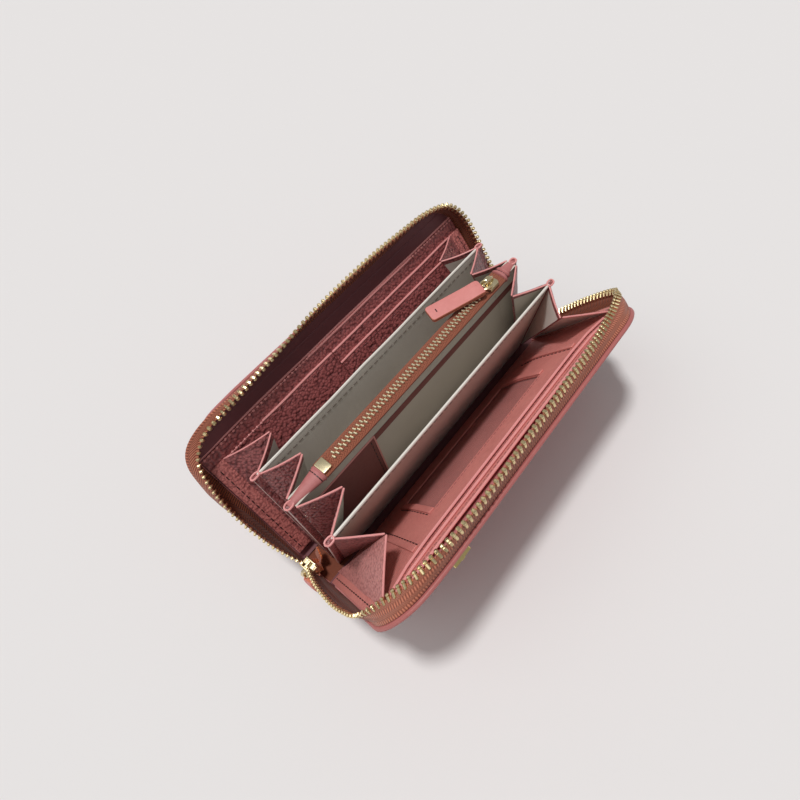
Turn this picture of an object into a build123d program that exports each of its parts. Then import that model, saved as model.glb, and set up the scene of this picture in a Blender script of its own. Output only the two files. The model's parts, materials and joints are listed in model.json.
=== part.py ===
from build123d import *
import os
from math import acos, atan2, cos, degrees, hypot, radians, sin

os.makedirs("parts", exist_ok=True)

# A zip around wallet that stands on its spine, open in a V, with an accordion gusset at each end.
# X runs along the spine: the near end, where the outer slider rests, is at -X, the far end at +X.
# Y runs across the leaves: the cover with the card slots is the left one, at +Y. Z is up.
# The origin is the middle of the spine's underside. Sizes are in millimetres, angles in degrees.

# --- covers and spine
length = 195.0
cover_height = 101.0
cover_thick = 2.0
corner_radius = 14.0
cover_edge_round = 0.8
cover_foot = 0.1
left_angle = 30.7  # from upright, when open
right_angle = 36.3
fold_spacing = 24.0  # between the fold lines of the two covers
fold_height = 2.0
spine_leather_thick = 1.4
spine_lining_thick = 0.4

# --- linings, slots and pockets that lie on the covers
lining_thick = 0.4
lining_inset = 2.0
lining_foot = 3.0
slip_thick = 0.5
slip_top = 82.8
card_thick = 0.7
card_border_gap = 0.4
card_foot = 5.0
card_back_top = 84.6
card_column_seam = -13.0  # X of the seam between the two columns
card_seam_gap = 0.8
card_second_top = 76.6  # second slot edge
card_third_top = 68.0  # third slot edge, in the far column
panel_inset = 2.5  # from a cover's end to the ends of the panels sewn to it
panel_half = length / 2 - panel_inset
panel_thick = 0.7
panel_back_top = 92.0
panel_mid_top = 89.5
panel_corner = 5.0
frame_thick = 0.8
frame_top = 87.0
window_half_length = 43.0
window_foot = 18.0
window_top = 66.0
pane_thick = 0.3
pane_margin = 3.0
border_width = 8.2
border_thick = 1.6
right_border_thick = 0.6

# --- dividers, coin pocket and gusset
divider_foot = 5.85  # Y of a divider's fold line
divider_thick = 1.2
divider_a_angle = 13.4
divider_b_angle = 13.9
divider_height = 76.0
leaf_foot = 0.5
leaf_inset = 15.0  # from a cover's end to the ends of the dividers and the pocket
leaf_half = length / 2 - leaf_inset
tip_reach = 3.8  # how far a pinched leather end stands past its leaf
tip_half = 1.0
tip_gap = 0.1
gusset_thick = 0.6
gusset_gap = 0.25  # between neighbouring layers when the wallet is closed
gusset_fold = 20.0  # how far the folds reach in from a divider's end when the wallet is closed
gusset_inner_end = leaf_half - gusset_fold
gusset_foot = 4.0
gusset_fold_gap = 0.9  # from each fold edge to the middle of its bay, open
gusset_edge_gap = 0.35
left_gusset_inset = 10.5
left_gusset_top = 75.0
right_gusset_inset = 8.0
right_gusset_top = 82.0
pocket_outer = 3.0  # half width over the coin pocket's walls
pocket_wall = 0.85
pocket_height = 76.0
pocket_slip_thick = 0.3
pocket_slip_far = -36.0
pocket_slip_top = 66.0

# --- coin zip on top of the pocket
band_half = 4.3
band_z = 78.5
band_thick = 0.6
band_near_gap = 17.5  # from the pocket's ends to the ends of the band
band_far_gap = 11.5
band_near = band_near_gap - leaf_half
band_far = leaf_half - band_far_gap
flare_gap = 20.5  # the pocket's walls flare out under the band, up to this far from their ends
flare_half = leaf_half - flare_gap
flare_rise = 7.0
coin_tooth_pitch = 2.2
coin_tooth_long = 1.2
coin_tooth_reach = 1.9
coin_tooth_high = 1.3
coin_slot_half = 0.5
chain_near_gap = 7.0  # from the band's ends to the ends of its teeth
chain_far_gap = 15.0
coin_chain_near = band_near + chain_near_gap
coin_chain_far = band_far - chain_far_gap
box_long = 5.0
cone_inner_high = 2.6
cone_tip_half = 1.0
slider_gap = 0.3
coin_slider_gap = 8.5
coin_slider_x = band_far - coin_slider_gap
coin_slider_long = 8.0
coin_slider_half = 3.6
slider_plate = 1.0
bridge_long = 6.0
bridge_hole_high = 1.8
bridge_bar = 0.8
bridge_half = 0.8
coin_ring_radius = 3.0
ring_wire = 0.5
ring_wire_sides = 8
pull_long = 33.5
pull_wide = 9.5
pull_thick = 2.4
pull_turn_angle = -20.0  # the coin pull lies turned from the line of its zip
pull_corner = 1.6
pull_eye = 1.5
eye_wall = 0.6
eye_half = 1.0
eye_neck = 0.5

# --- outer zip
tape_inset = 1.3  # from the cover's edge to the middle of the tape
tape_thick = 0.8
tape_rise = 7.4
tape_foot = 12.0
tooth_pitch = 3.0
tooth_long = 1.5
tooth_across = 2.4
tooth_rise = 3.0
tooth_taper_angle = 8.0
outer_slider_z = 14.0
outer_slider_long = 12.0
outer_slider_half = 6.2
outer_post_half = 1.1
base_tape_half = 6.0
stop_half = 2.4
stop_high = 2.4
stop_thick = 0.8
lip_wide = 1.0
tail_long = 12.0
tail_inset = 5.1
tail_bend = 0.9
tail_x = tail_inset - length / 2
outer_pull_clear = 0.8
outer_pull_tilt_angle = 14.0
outer_pull_wide = 8.0
outer_bridge_long = 4.4
outer_ring_radius = 2.1

# --- brass bar on its leather tab, outside the right cover
tab_centre = -59.0
tab_long = 17.0
tab_foot = 74.0
tab_top = 97.0
tab_thick = 1.2
tab_corner = 2.0
bar_centre = -56.0
bar_long = 10.0
bar_wide = 3.0
bar_thick = 1.8
bar_boss = 1.1


def keep(piece, name):
    piece.part.label = name
    export_step(piece.part, "parts/" + name + ".step")


def leaf_plane(side, foot, angle):
    # local X along the spine, Y up the leaf, Z to the inside; side is +1 for leaves that lean to +Y
    lean = radians(angle)
    up = Vector(0, side * sin(lean), cos(lean))
    along = Vector(side, 0, 0)
    return Plane(origin=(0, side * foot, fold_height), x_dir=along, z_dir=along.cross(up))


left_plane = leaf_plane(1, fold_spacing / 2, left_angle)
right_plane = leaf_plane(-1, fold_spacing / 2, right_angle)
a_plane = leaf_plane(1, divider_foot, divider_a_angle)
b_plane = leaf_plane(-1, divider_foot, divider_b_angle)
pocket_left_plane = leaf_plane(1, 0, 0)
pocket_right_plane = leaf_plane(-1, 0, 0)


def cover_outline(inset, foot):
    half = length / 2 - inset
    top = cover_height - inset
    with BuildLine() as outline:
        around = FilletPolyline(
            (-half, foot), (-half, top), (half, top), (half, foot), radius=corner_radius - inset
        )
        Line(around @ 1, around @ 0)
    return outline.edges()


def cover_sheet(plane, start, thick, inset, foot):
    outline = cover_outline(inset, foot)
    with BuildPart() as piece:
        with BuildSketch(plane.offset(start)):
            make_face(outline)
        extrude(amount=thick)
    return piece


def flat_sheet(plane, start, thick, low, high, foot, top, radius=0.0):
    # low and high are the ends along the spine, in the part's X; radius rounds the top corners
    side = plane.x_dir.X
    with BuildPart() as piece:
        with BuildSketch(plane.offset(start)):
            with Locations((side * (low + high) / 2, (foot + top) / 2)):
                Rectangle(high - low, top - foot)
            if radius > 0:
                fillet(vertices().group_by(Axis.Y)[-1], radius)
        extrude(amount=thick)
    return piece


# --- spine
with BuildPart() as spine_leather:
    with BuildSketch():
        Rectangle(length, fold_spacing - 2 * cover_foot)
    extrude(amount=spine_leather_thick)
keep(spine_leather, "spine_leather")

with BuildPart() as spine_lining:
    with BuildSketch(Plane.XY.offset(spine_leather_thick)):
        Rectangle(length - 2 * lining_inset, fold_spacing - 2 * cover_foot)
    extrude(amount=spine_lining_thick)
keep(spine_lining, "spine_lining")

# --- covers: leather shell with a rounded outer edge, lining, zip tape and teeth
for name, plane in (("left", left_plane), ("right", right_plane)):
    outline = cover_outline(0, cover_foot)
    with BuildPart() as cover:
        with BuildSketch(plane.offset(-cover_thick)):
            make_face(outline)
        extrude(amount=cover_thick)
        outside = cover.faces().filter_by(plane).sort_by(Axis(plane.origin, plane.z_dir))[0]
        fillet(outside.edges(), cover_edge_round)
    keep(cover, name + "_cover_leather")
    keep(cover_sheet(plane, 0, lining_thick, lining_inset, lining_foot), name + "_cover_lining")

    outer_wall = cover_outline(tape_inset - tape_thick / 2, tape_foot)
    inner_wall = cover_outline(tape_inset + tape_thick / 2, tape_foot - tape_thick)
    with BuildPart() as tape:
        with BuildSketch(plane):
            make_face(outer_wall)
            make_face(inner_wall, mode=Mode.SUBTRACT)
        extrude(amount=tape_rise)
    keep(tape, name + "_zip_tape")

    half = length / 2 - tape_inset
    top = cover_height - tape_inset
    with BuildLine(mode=Mode.PRIVATE) as row:
        FilletPolyline(
            (-half, tape_foot), (-half, top), (half, top), (half, tape_foot),
            radius=corner_radius - tape_inset,
        )
    row_wire = row.wire()
    tooth_count = int(row_wire.length / tooth_pitch)
    places = []
    for i in range(tooth_count):
        along = (i + 0.5) / tooth_count
        spot = row_wire.position_at(along)
        heading = row_wire.tangent_at(along)
        places.append(Location((spot.X, spot.Y, 0), (0, 0, degrees(atan2(heading.Y, heading.X)))))
    with BuildPart() as teeth:
        with BuildSketch(plane.offset(tape_rise)):
            with Locations(*places):
                Rectangle(tooth_long, tooth_across)
        extrude(amount=tooth_rise, taper=tooth_taper_angle)
    keep(teeth, name + "_zip_teeth")

# --- left cover: slip pocket, card slots and the stitched flanges of the gusset
layer = lining_thick
keep(flat_sheet(left_plane, layer, slip_thick, -panel_half, panel_half, card_foot, slip_top),
     "left_slip_pocket")
layer += slip_thick
keep(flat_sheet(left_plane, layer, card_thick, -panel_half, panel_half, card_foot, card_back_top),
     "left_card_back")
layer += card_thick
slot_end = panel_half - border_width - card_border_gap
near_column = (-slot_end, card_column_seam - card_seam_gap / 2)
far_column = (card_column_seam + card_seam_gap / 2, slot_end)
keep(flat_sheet(left_plane, layer, card_thick, *near_column, card_foot, card_second_top),
     "left_card_near")
for i, slot_top in enumerate((card_second_top, card_third_top)):
    start = layer + i * card_thick
    keep(flat_sheet(left_plane, start, card_thick, *far_column, card_foot, slot_top),
         "left_card_far_" + str(i + 1))


def end_borders(plane, start, thick, top):
    with BuildPart() as borders:
        with BuildSketch(plane.offset(start)):
            with Locations((0, (card_foot + top) / 2)):
                with GridLocations(2 * panel_half - border_width, 0, 2, 1):
                    Rectangle(border_width, top - card_foot)
        extrude(amount=thick)
    return borders


keep(end_borders(left_plane, layer, border_thick, left_gusset_top), "left_borders")
left_stack = layer + border_thick

# --- right cover: two pockets behind a frame with a window, its pane, and the gusset flanges
layer = lining_thick
panel_ends = (-panel_half, panel_half)
keep(flat_sheet(right_plane, layer, panel_thick, *panel_ends, card_foot, panel_back_top, panel_corner),
     "right_pocket_back")
layer += panel_thick
keep(flat_sheet(right_plane, layer, panel_thick, *panel_ends, card_foot, panel_mid_top, panel_corner),
     "right_pocket_middle")
layer += panel_thick
pane_half = window_half_length + pane_margin
keep(flat_sheet(right_plane, layer, pane_thick, -pane_half, pane_half,
                window_foot - pane_margin, window_top + pane_margin), "window_pane")
with BuildPart() as window_frame:
    with BuildSketch(right_plane.offset(layer)):
        with Locations((0, (card_foot + frame_top) / 2)):
            Rectangle(2 * panel_half, frame_top - card_foot)
        fillet(vertices().group_by(Axis.Y)[-1], panel_corner)
    extrude(amount=pane_thick + frame_thick)
    with BuildSketch(right_plane.offset(layer)):
        with Locations((0, (window_foot + window_top) / 2)):
            Rectangle(2 * pane_half, window_top - window_foot + 2 * pane_margin)
    extrude(amount=pane_thick, mode=Mode.SUBTRACT)
    with BuildSketch(right_plane.offset(layer)):
        with Locations((0, (window_foot + window_top) / 2)):
            Rectangle(2 * window_half_length, window_top - window_foot)
    extrude(amount=pane_thick + frame_thick, mode=Mode.SUBTRACT)
keep(window_frame, "window_frame")
layer += pane_thick + frame_thick
keep(end_borders(right_plane, layer, right_border_thick, right_gusset_top), "right_borders")
right_stack = layer + right_border_thick

# --- leather tab with its brass bar, outside the right cover
tab_plane = right_plane.offset(-cover_thick - tab_thick)
with BuildPart() as outside_tab:
    with BuildSketch(tab_plane):
        with Locations((-tab_centre, (tab_foot + tab_top) / 2)):
            RectangleRounded(tab_long, tab_top - tab_foot, tab_corner)
    extrude(amount=tab_thick)
keep(outside_tab, "outside_tab")

with BuildPart() as brass_bar:
    with BuildSketch(tab_plane.offset(-bar_thick)):
        with Locations((-bar_centre, tab_top - bar_wide / 2)):
            RectangleRounded(bar_long, bar_wide, bar_wide / 4)
    extrude(amount=bar_thick)
    with BuildSketch(tab_plane.offset(-bar_thick - bar_boss / 2)):
        with Locations((-bar_centre, tab_top - bar_wide / 2)):
            Circle(bar_boss)
    extrude(amount=bar_boss / 2)
keep(brass_bar, "brass_bar")

# --- dividers and the pinched leather ends that fold round the leaves
leaf_bottom = fold_height + leaf_foot


def pinched_ends(plane, root_half, height):
    # a wedge along each end of a leaf, from the leaf's thickness down to the fold
    root = leaf_half + tip_gap
    end = leaf_half + tip_reach
    section = Plane(origin=plane.origin + plane.y_dir * leaf_foot, x_dir=plane.x_dir, z_dir=plane.y_dir)
    with BuildPart() as ends:
        with BuildSketch(section):
            for way in (-1, 1):
                with BuildLine():
                    Polyline(
                        (way * root, -root_half), (way * end, -tip_half), (way * end, tip_half),
                        (way * root, root_half), close=True,
                    )
                make_face()
            outer = vertices().group_by(Axis.X)
            fillet(outer[0] + outer[-1], tip_half * 0.8)
        extrude(amount=height - leaf_foot)
    return ends


for name, plane in (("a", a_plane), ("b", b_plane)):
    start = -divider_thick / 2
    leaf = flat_sheet(plane, start, divider_thick, -leaf_half, leaf_half, leaf_foot, divider_height)
    keep(leaf, "divider_" + name)
    keep(pinched_ends(plane, divider_thick / 2, divider_height), "divider_" + name + "_ends")
keep(pinched_ends(pocket_left_plane, pocket_outer, pocket_height), "pocket_ends")

# --- coin pocket: two walls that flare out under the zip band, and a slip pocket on the right wall
pocket_top = fold_height + pocket_height
flare_foot = band_z - flare_rise
pocket_inner = pocket_outer - pocket_wall
for name, side in (("left", 1), ("right", -1)):
    with BuildPart() as wall:
        with BuildSketch(Plane.YZ):
            with Locations((side * (pocket_inner + pocket_wall / 2), (leaf_bottom + flare_foot) / 2)):
                Rectangle(pocket_wall, flare_foot - leaf_bottom)
        extrude(amount=leaf_half, both=True)
        with BuildSketch(Plane.XZ.offset(-side * pocket_outer)) as upper_ends:
            with Locations((0, (flare_foot + pocket_top) / 2)):
                with GridLocations(leaf_half + flare_half, 0, 2, 1):
                    Rectangle(leaf_half - flare_half, pocket_top - flare_foot)
        extrude(amount=side * pocket_wall)
        with BuildSketch(Plane.YZ):
            with BuildLine():
                Polyline(
                    (side * pocket_inner, flare_foot), (side * pocket_outer, flare_foot),
                    (side * band_half, band_z), (side * (band_half - pocket_wall), band_z), close=True,
                )
            make_face()
        extrude(amount=flare_half, both=True)
    keep(wall, "pocket_wall_" + name)

keep(flat_sheet(pocket_right_plane, -pocket_outer - pocket_slip_thick, pocket_slip_thick,
                -leaf_half, pocket_slip_far, leaf_foot, pocket_slip_top), "pocket_slip")

# --- coin zip: band with its slot, two rows of teeth, end plate, folded leather ends
band_top = band_z + band_thick
with BuildPart() as coin_tape:
    with BuildSketch(Plane.XY.offset(band_z)):
        with Locations(((band_near + band_far) / 2, 0)):
            Rectangle(band_far - band_near, 2 * band_half)
        slot_far = band_far - coin_slider_long / 4
        with Locations(((coin_chain_near + slot_far) / 2, 0)):
            Rectangle(slot_far - coin_chain_near, 2 * coin_slot_half, mode=Mode.SUBTRACT)
    extrude(amount=band_thick)
keep(coin_tape, "coin_zip_tape")

coin_tooth_count = int((coin_chain_far - coin_chain_near) / coin_tooth_pitch)
with BuildPart() as coin_teeth:
    with BuildSketch(Plane.XY.offset(band_top)):
        row_y = coin_slot_half + coin_tooth_reach / 2
        for side in (-1, 1):
            middle = (coin_chain_near + coin_chain_far) / 2 + side * coin_tooth_pitch / 4
            with Locations((middle, side * row_y)):
                with GridLocations(coin_tooth_pitch, 0, coin_tooth_count, 1):
                    Rectangle(coin_tooth_long, coin_tooth_reach)
    extrude(amount=coin_tooth_high)
keep(coin_teeth, "coin_zip_teeth")

with BuildPart() as coin_box:
    with BuildSketch(Plane.XY.offset(band_top)):
        with Locations((band_near + box_long / 2, 0)):
            Rectangle(box_long, 2 * (band_half - pocket_wall))
    extrude(amount=coin_tooth_high)
    fillet(coin_box.edges().filter_by(Axis.X).group_by(Axis.Z)[-1], coin_tooth_high / 2)
keep(coin_box, "coin_zip_plate")

with BuildPart() as coin_cones:
    for way, start in ((-1, band_near), (1, band_far)):
        with BuildSketch(Plane.YZ.offset(start + way * tip_gap)):
            with Locations((0, band_z + cone_inner_high / 2)):
                RectangleRounded(2 * band_half, cone_inner_high, cone_inner_high / 2.2)
        with BuildSketch(Plane.YZ.offset(way * (leaf_half + tip_reach / 2))):
            with Locations((0, band_z + cone_tip_half)):
                RectangleRounded(2.2 * cone_tip_half, 2 * cone_tip_half, cone_tip_half / 1.2)
        loft()
keep(coin_cones, "coin_zip_ends")

# --- coin slider: plates above the teeth and under the band, joined by a post that runs in the slot
teeth_top = band_top + coin_tooth_high
plate_top = teeth_top + slider_gap + slider_plate
bridge_hole_z = plate_top + bridge_hole_high / 2
with BuildPart() as coin_slider:
    with BuildSketch(Plane.XY.offset(teeth_top + slider_gap)):
        with Locations((coin_slider_x, 0)):
            RectangleRounded(coin_slider_long, 2 * coin_slider_half, coin_slider_half / 3)
    extrude(amount=slider_plate)
    with BuildSketch(Plane.XY.offset(band_z - slider_gap - slider_plate)):
        with Locations((coin_slider_x, 0)):
            Rectangle(coin_slider_long, 2 * (pocket_inner - slider_gap))
    extrude(amount=slider_plate)
    with BuildSketch(Plane.XY.offset(band_z - slider_gap)):
        with Locations((coin_slider_x + coin_slider_long / 3, 0)):
            Rectangle(coin_slider_long / 5, 2 * (coin_slot_half - slider_gap / 2))
    extrude(amount=teeth_top + 2 * slider_gap - band_z)
    with BuildSketch(Plane.XZ):
        with Locations((coin_slider_x, bridge_hole_z)):
            RectangleRounded(bridge_long, bridge_hole_high + 2 * bridge_bar, bridge_hole_high / 2)
            Rectangle(bridge_long - 2 * bridge_bar, bridge_hole_high, mode=Mode.SUBTRACT)
    extrude(amount=bridge_half, both=True)
keep(coin_slider, "coin_slider")

coin_bridge_plane = Plane(origin=(coin_slider_x, 0, bridge_hole_z), x_dir=(-1, 0, 0), z_dir=(0, 0, 1))
outer_x = -(length / 2 - tape_inset)
outer_plate_face = outer_x - tooth_across / 2 - 2 * slider_gap
outer_bridge_x = outer_plate_face - slider_plate - bridge_hole_high / 2
outer_hang = radians(outer_pull_tilt_angle)
outer_bridge_plane = Plane(
    origin=(outer_bridge_x, 0, outer_slider_z),
    x_dir=(-sin(outer_hang), 0, -cos(outer_hang)),
    z_dir=(-cos(outer_hang), 0, sin(outer_hang)),
)


def ring_middle(bridge_plane, radius, turn=0.0):
    # plane at the middle of a ring that lies in the bridge's plane, turned in its own plane
    middle = bridge_plane.from_local_coords((radius, 0, 0))
    heading = bridge_plane.x_dir * cos(radians(turn)) + bridge_plane.y_dir * sin(radians(turn))
    return Plane(origin=middle, x_dir=heading, z_dir=bridge_plane.z_dir)


def pull_ring(plane, radius):
    wire_middle = plane.from_local_coords((radius, 0, 0))
    side_plane = Plane(origin=wire_middle, x_dir=plane.x_dir, z_dir=-plane.y_dir)
    with BuildPart() as ring:
        with BuildSketch(side_plane):
            RegularPolygon(ring_wire, ring_wire_sides)
        revolve(axis=Axis(plane.origin, plane.z_dir))
    return ring


def leather_pull(plane, radius, long, wide):
    # two layers folded round the ring's far side: a narrow eye, a neck, then the tab
    side_plane = Plane(origin=plane.origin, x_dir=plane.x_dir, z_dir=-plane.y_dir)
    tab_start = radius + pull_eye + eye_neck
    with BuildPart() as pull:
        with BuildSketch(side_plane):
            with Locations((radius, 0)):
                Circle(pull_eye)
            with Locations(((radius + tab_start) / 2, 0)):
                Rectangle(tab_start - radius, pull_thick)
            with Locations((radius, 0)):
                Circle(pull_eye - eye_wall, mode=Mode.SUBTRACT)
        extrude(amount=eye_half, both=True)
        with BuildSketch(plane.offset(-pull_thick / 2)):
            with Locations(((tab_start + radius + long) / 2, 0)):
                RectangleRounded(radius + long - tab_start, wide, pull_corner)
        extrude(amount=pull_thick)
    return pull


coin_ring_plane = ring_middle(coin_bridge_plane, coin_ring_radius)
coin_pull_plane = ring_middle(coin_bridge_plane, coin_ring_radius, pull_turn_angle)
keep(pull_ring(coin_ring_plane, coin_ring_radius), "coin_pull_ring")
keep(leather_pull(coin_pull_plane, coin_ring_radius, pull_long, pull_wide), "coin_pull_leather")

# --- gusset: a fold panel on each side of each bay, hinged on the leaf's end and folded inwards
divider_offset = divider_thick / 2 + gusset_gap + gusset_thick / 2
pocket_offset = pocket_outer + gusset_gap + gusset_thick / 2
left_offset = left_stack + gusset_gap + gusset_thick / 2
right_offset = right_stack + gusset_gap + gusset_thick / 2
# each side of a bay: plane, offset of the fold line, its distance from the middle of the spine,
# its top, and the way into the bay
cover_l = (left_plane, left_offset, length / 2 - left_gusset_inset, left_gusset_top, 1)
cover_r = (right_plane, right_offset, length / 2 - right_gusset_inset, right_gusset_top, 1)
a_out = (a_plane, -divider_offset, leaf_half, divider_height, -1)
a_in = (a_plane, divider_offset, leaf_half, divider_height, 1)
b_out = (b_plane, -divider_offset, leaf_half, divider_height, -1)
b_in = (b_plane, divider_offset, leaf_half, divider_height, 1)
pocket_l = (pocket_left_plane, -pocket_offset, leaf_half, pocket_height, -1)
pocket_r = (pocket_right_plane, -pocket_offset - pocket_slip_thick, leaf_half, pocket_height, -1)
bays = (("1", cover_l, a_out), ("2", a_in, pocket_l), ("3", pocket_r, b_in), ("4", b_out, cover_r))


def fold_angle(spacing, own, other):
    # angle between a panel and its leaf, from the triangle of the two panels and the open bay
    base = hypot(spacing, own - other)
    corner = acos((base**2 + own**2 - other**2) / (2 * base * own))
    return atan2(spacing, own - other) - corner


for bay, left_side, right_side in bays:
    tops = [s[0].from_local_coords((0, s[3], s[1])) for s in (left_side, right_side)]
    spacing = (tops[0] - tops[1]).length - 2 * gusset_fold_gap
    widths = [s[2] - gusset_inner_end for s in (left_side, right_side)]
    angles = (fold_angle(spacing, *widths), fold_angle(spacing, widths[1], widths[0]))
    for end_name, end in (("near", -1), ("far", 1)):
        sides = zip(("left", "right"), (left_side, right_side), widths, angles)
        for side_name, leaf_side, width, angle in sides:
            plane, offset_n, half_x, top, bay_way = leaf_side
            inward = Vector(-end * cos(angle), 0, 0) + plane.z_dir * (bay_way * sin(angle))
            foot_point = plane.from_local_coords((plane.x_dir.X * end * half_x, 0, offset_n))
            panel_plane = Plane(origin=foot_point, x_dir=inward, z_dir=inward.cross(plane.y_dir))
            with BuildPart() as panel:
                with BuildSketch(panel_plane):
                    with BuildLine():
                        corners = [(gusset_edge_gap, gusset_foot), (gusset_edge_gap, top), (width, top)]
                        Polyline(*corners, close=True)
                    make_face()
                extrude(amount=gusset_thick / 2, both=True)
            keep(panel, "gusset_" + end_name + "_" + bay + "_" + side_name)

# --- outer slider: two plates round the tape, lips at the sides, a post at the top, a bridge outside
outer_inner_face = outer_x + tooth_across / 2 + 2 * slider_gap
slider_foot = outer_slider_z - outer_slider_long / 2
with BuildPart() as outer_slider:
    for face, way in ((outer_plate_face, -1), (outer_inner_face, 1)):
        with BuildSketch(Plane.YZ.offset(face)):
            with Locations((0, outer_slider_z)):
                RectangleRounded(2 * outer_slider_half, outer_slider_long, outer_slider_half / 3)
        extrude(amount=way * slider_plate)
        lip_face = outer_x + way * (tooth_across / 2 + slider_gap)
        with BuildSketch(Plane.XY.offset(slider_foot + outer_slider_half / 3)):
            with Locations(((face + lip_face) / 2, 0)):
                with GridLocations(0, 2 * outer_slider_half - lip_wide, 1, 2):
                    Rectangle(abs(face - lip_face), lip_wide)
        extrude(amount=outer_slider_long - 2 * outer_slider_half / 3)
    with BuildSketch(Plane.YZ.offset(outer_plate_face)):
        with Locations((0, outer_slider_z + outer_slider_long / 2 - 2 * outer_post_half)):
            Rectangle(2 * outer_post_half, 2 * outer_post_half)
    extrude(amount=outer_inner_face - outer_plate_face)
    with BuildSketch(Plane.XZ):
        with Locations((outer_bridge_x, outer_slider_z)):
            RectangleRounded(bridge_hole_high + 2 * bridge_bar, outer_bridge_long, bridge_hole_high / 2)
            Rectangle(bridge_hole_high, outer_bridge_long - 2 * bridge_bar, mode=Mode.SUBTRACT)
    extrude(amount=bridge_half, both=True)
keep(outer_slider, "outer_slider")
outer_ring_plane = ring_middle(outer_bridge_plane, outer_ring_radius)
outer_pull_drop = (outer_slider_z - outer_pull_clear) / cos(outer_hang)
outer_pull_long = outer_pull_drop - 2 * outer_ring_radius - pull_thick / 4
keep(pull_ring(outer_ring_plane, outer_ring_radius), "outer_pull_ring")
keep(leather_pull(outer_ring_plane, outer_ring_radius, outer_pull_long, outer_pull_wide),
     "outer_pull_leather")

# --- lower end of the outer zip on the spine: joined tape, bottom stop, folded tail
base_top = slider_foot + outer_slider_long / 4
with BuildPart() as base_tape:
    with BuildSketch(Plane.YZ.offset(outer_x - tape_thick / 2)):
        with Locations((0, (spine_leather_thick + base_top) / 2)):
            Rectangle(2 * base_tape_half, base_top - spine_leather_thick)
    extrude(amount=tape_thick)
keep(base_tape, "base_tape")

with BuildPart() as zip_stop:
    with BuildSketch(Plane.YZ.offset(outer_x - tape_thick / 2)):
        with Locations((0, slider_foot - slider_gap - stop_high / 2)):
            RectangleRounded(2 * stop_half, stop_high, stop_high / 4)
    extrude(amount=-stop_thick)
keep(zip_stop, "zip_stop")

with BuildPart() as zip_tail:
    with BuildSketch(Plane.XZ):
        with BuildLine():
            tail_rise = Line((tail_x, spine_leather_thick + spine_lining_thick), (tail_x, tail_long))
            tail_turn = TangentArc(tail_rise @ 1, (tail_x + 2 * tail_bend, tail_long), tangent=(0, 1))
            Line(tail_turn @ 1, (tail_x + 2 * tail_bend, tail_long * 0.6))
            offset(amount=tape_thick / 3, side=Side.LEFT)
        make_face()
    extrude(amount=base_tape_half / 2, both=True)
keep(zip_tail, "zip_tail")
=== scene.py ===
import bpy
import bmesh
import json
from math import cos, pi, radians, sin
from mathutils import Matrix, Vector, noise
from mathutils.geometry import interpolate_bezier


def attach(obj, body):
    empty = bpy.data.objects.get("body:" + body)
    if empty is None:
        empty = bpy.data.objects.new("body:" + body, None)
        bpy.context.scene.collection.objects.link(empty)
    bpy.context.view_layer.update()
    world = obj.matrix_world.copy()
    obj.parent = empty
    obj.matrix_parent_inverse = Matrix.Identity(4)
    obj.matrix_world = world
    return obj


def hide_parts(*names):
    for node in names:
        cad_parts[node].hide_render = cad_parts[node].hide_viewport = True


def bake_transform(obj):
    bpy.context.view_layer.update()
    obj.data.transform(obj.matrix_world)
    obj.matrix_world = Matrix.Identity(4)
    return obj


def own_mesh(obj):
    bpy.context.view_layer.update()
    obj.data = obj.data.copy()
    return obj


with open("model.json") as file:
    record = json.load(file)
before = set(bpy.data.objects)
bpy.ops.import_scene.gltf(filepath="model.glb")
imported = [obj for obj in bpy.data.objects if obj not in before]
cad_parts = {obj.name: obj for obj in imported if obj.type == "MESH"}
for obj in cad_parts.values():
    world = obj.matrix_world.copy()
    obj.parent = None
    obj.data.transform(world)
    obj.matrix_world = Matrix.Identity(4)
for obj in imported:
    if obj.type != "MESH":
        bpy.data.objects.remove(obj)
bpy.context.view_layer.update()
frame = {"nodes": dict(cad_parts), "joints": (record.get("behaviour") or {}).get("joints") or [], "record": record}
nodes = frame["nodes"]
joints = {joint["name"]: joint for joint in frame["joints"]}
bodyOf = {node: body for body, members in frame["record"]["behaviour"]["bodies"].items() for node in members}
scene = bpy.context.scene
mm = 0.001
upward = Vector((0, 0, 1))


# ---- places: each leaf has its own axes, x along the spine, y up the leaf, z to its inside
def leafMatrix(hinge, side):
    joint = joints[hinge]
    lean = radians(joint["range_deg"][1])
    x, y, z = joint["pos_m"]
    return Matrix((
        (mm, 0, 0, x),
        (0, mm * side * sin(lean), -mm * side * cos(lean), y),
        (0, mm * cos(lean), mm * sin(lean), z),
        (0, 0, 0, 1),
    ))


leftLeaf = leafMatrix("left_hinge", 1)
rightLeaf = leafMatrix("right_hinge", -1)
dividerA = leafMatrix("divider_a_hinge", 1)
dividerB = leafMatrix("divider_b_hinge", -1)
upright = Matrix(((mm, 0, 0, 0), (0, 0, -mm, 0), (0, mm, 0, 0), (0, 0, 0, 1)))  # y up, z to the right cover
room = Matrix.Scale(mm, 4)


def spotsIn(node, place):
    back = place.inverted()
    return [back @ v.co for v in nodes[node].data.vertices]


def span(node, place):
    spots = spotsIn(node, place)
    low = Vector(min(s[i] for s in spots) for i in range(3))
    high = Vector(max(s[i] for s in spots) for i in range(3))
    return low, high


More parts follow.
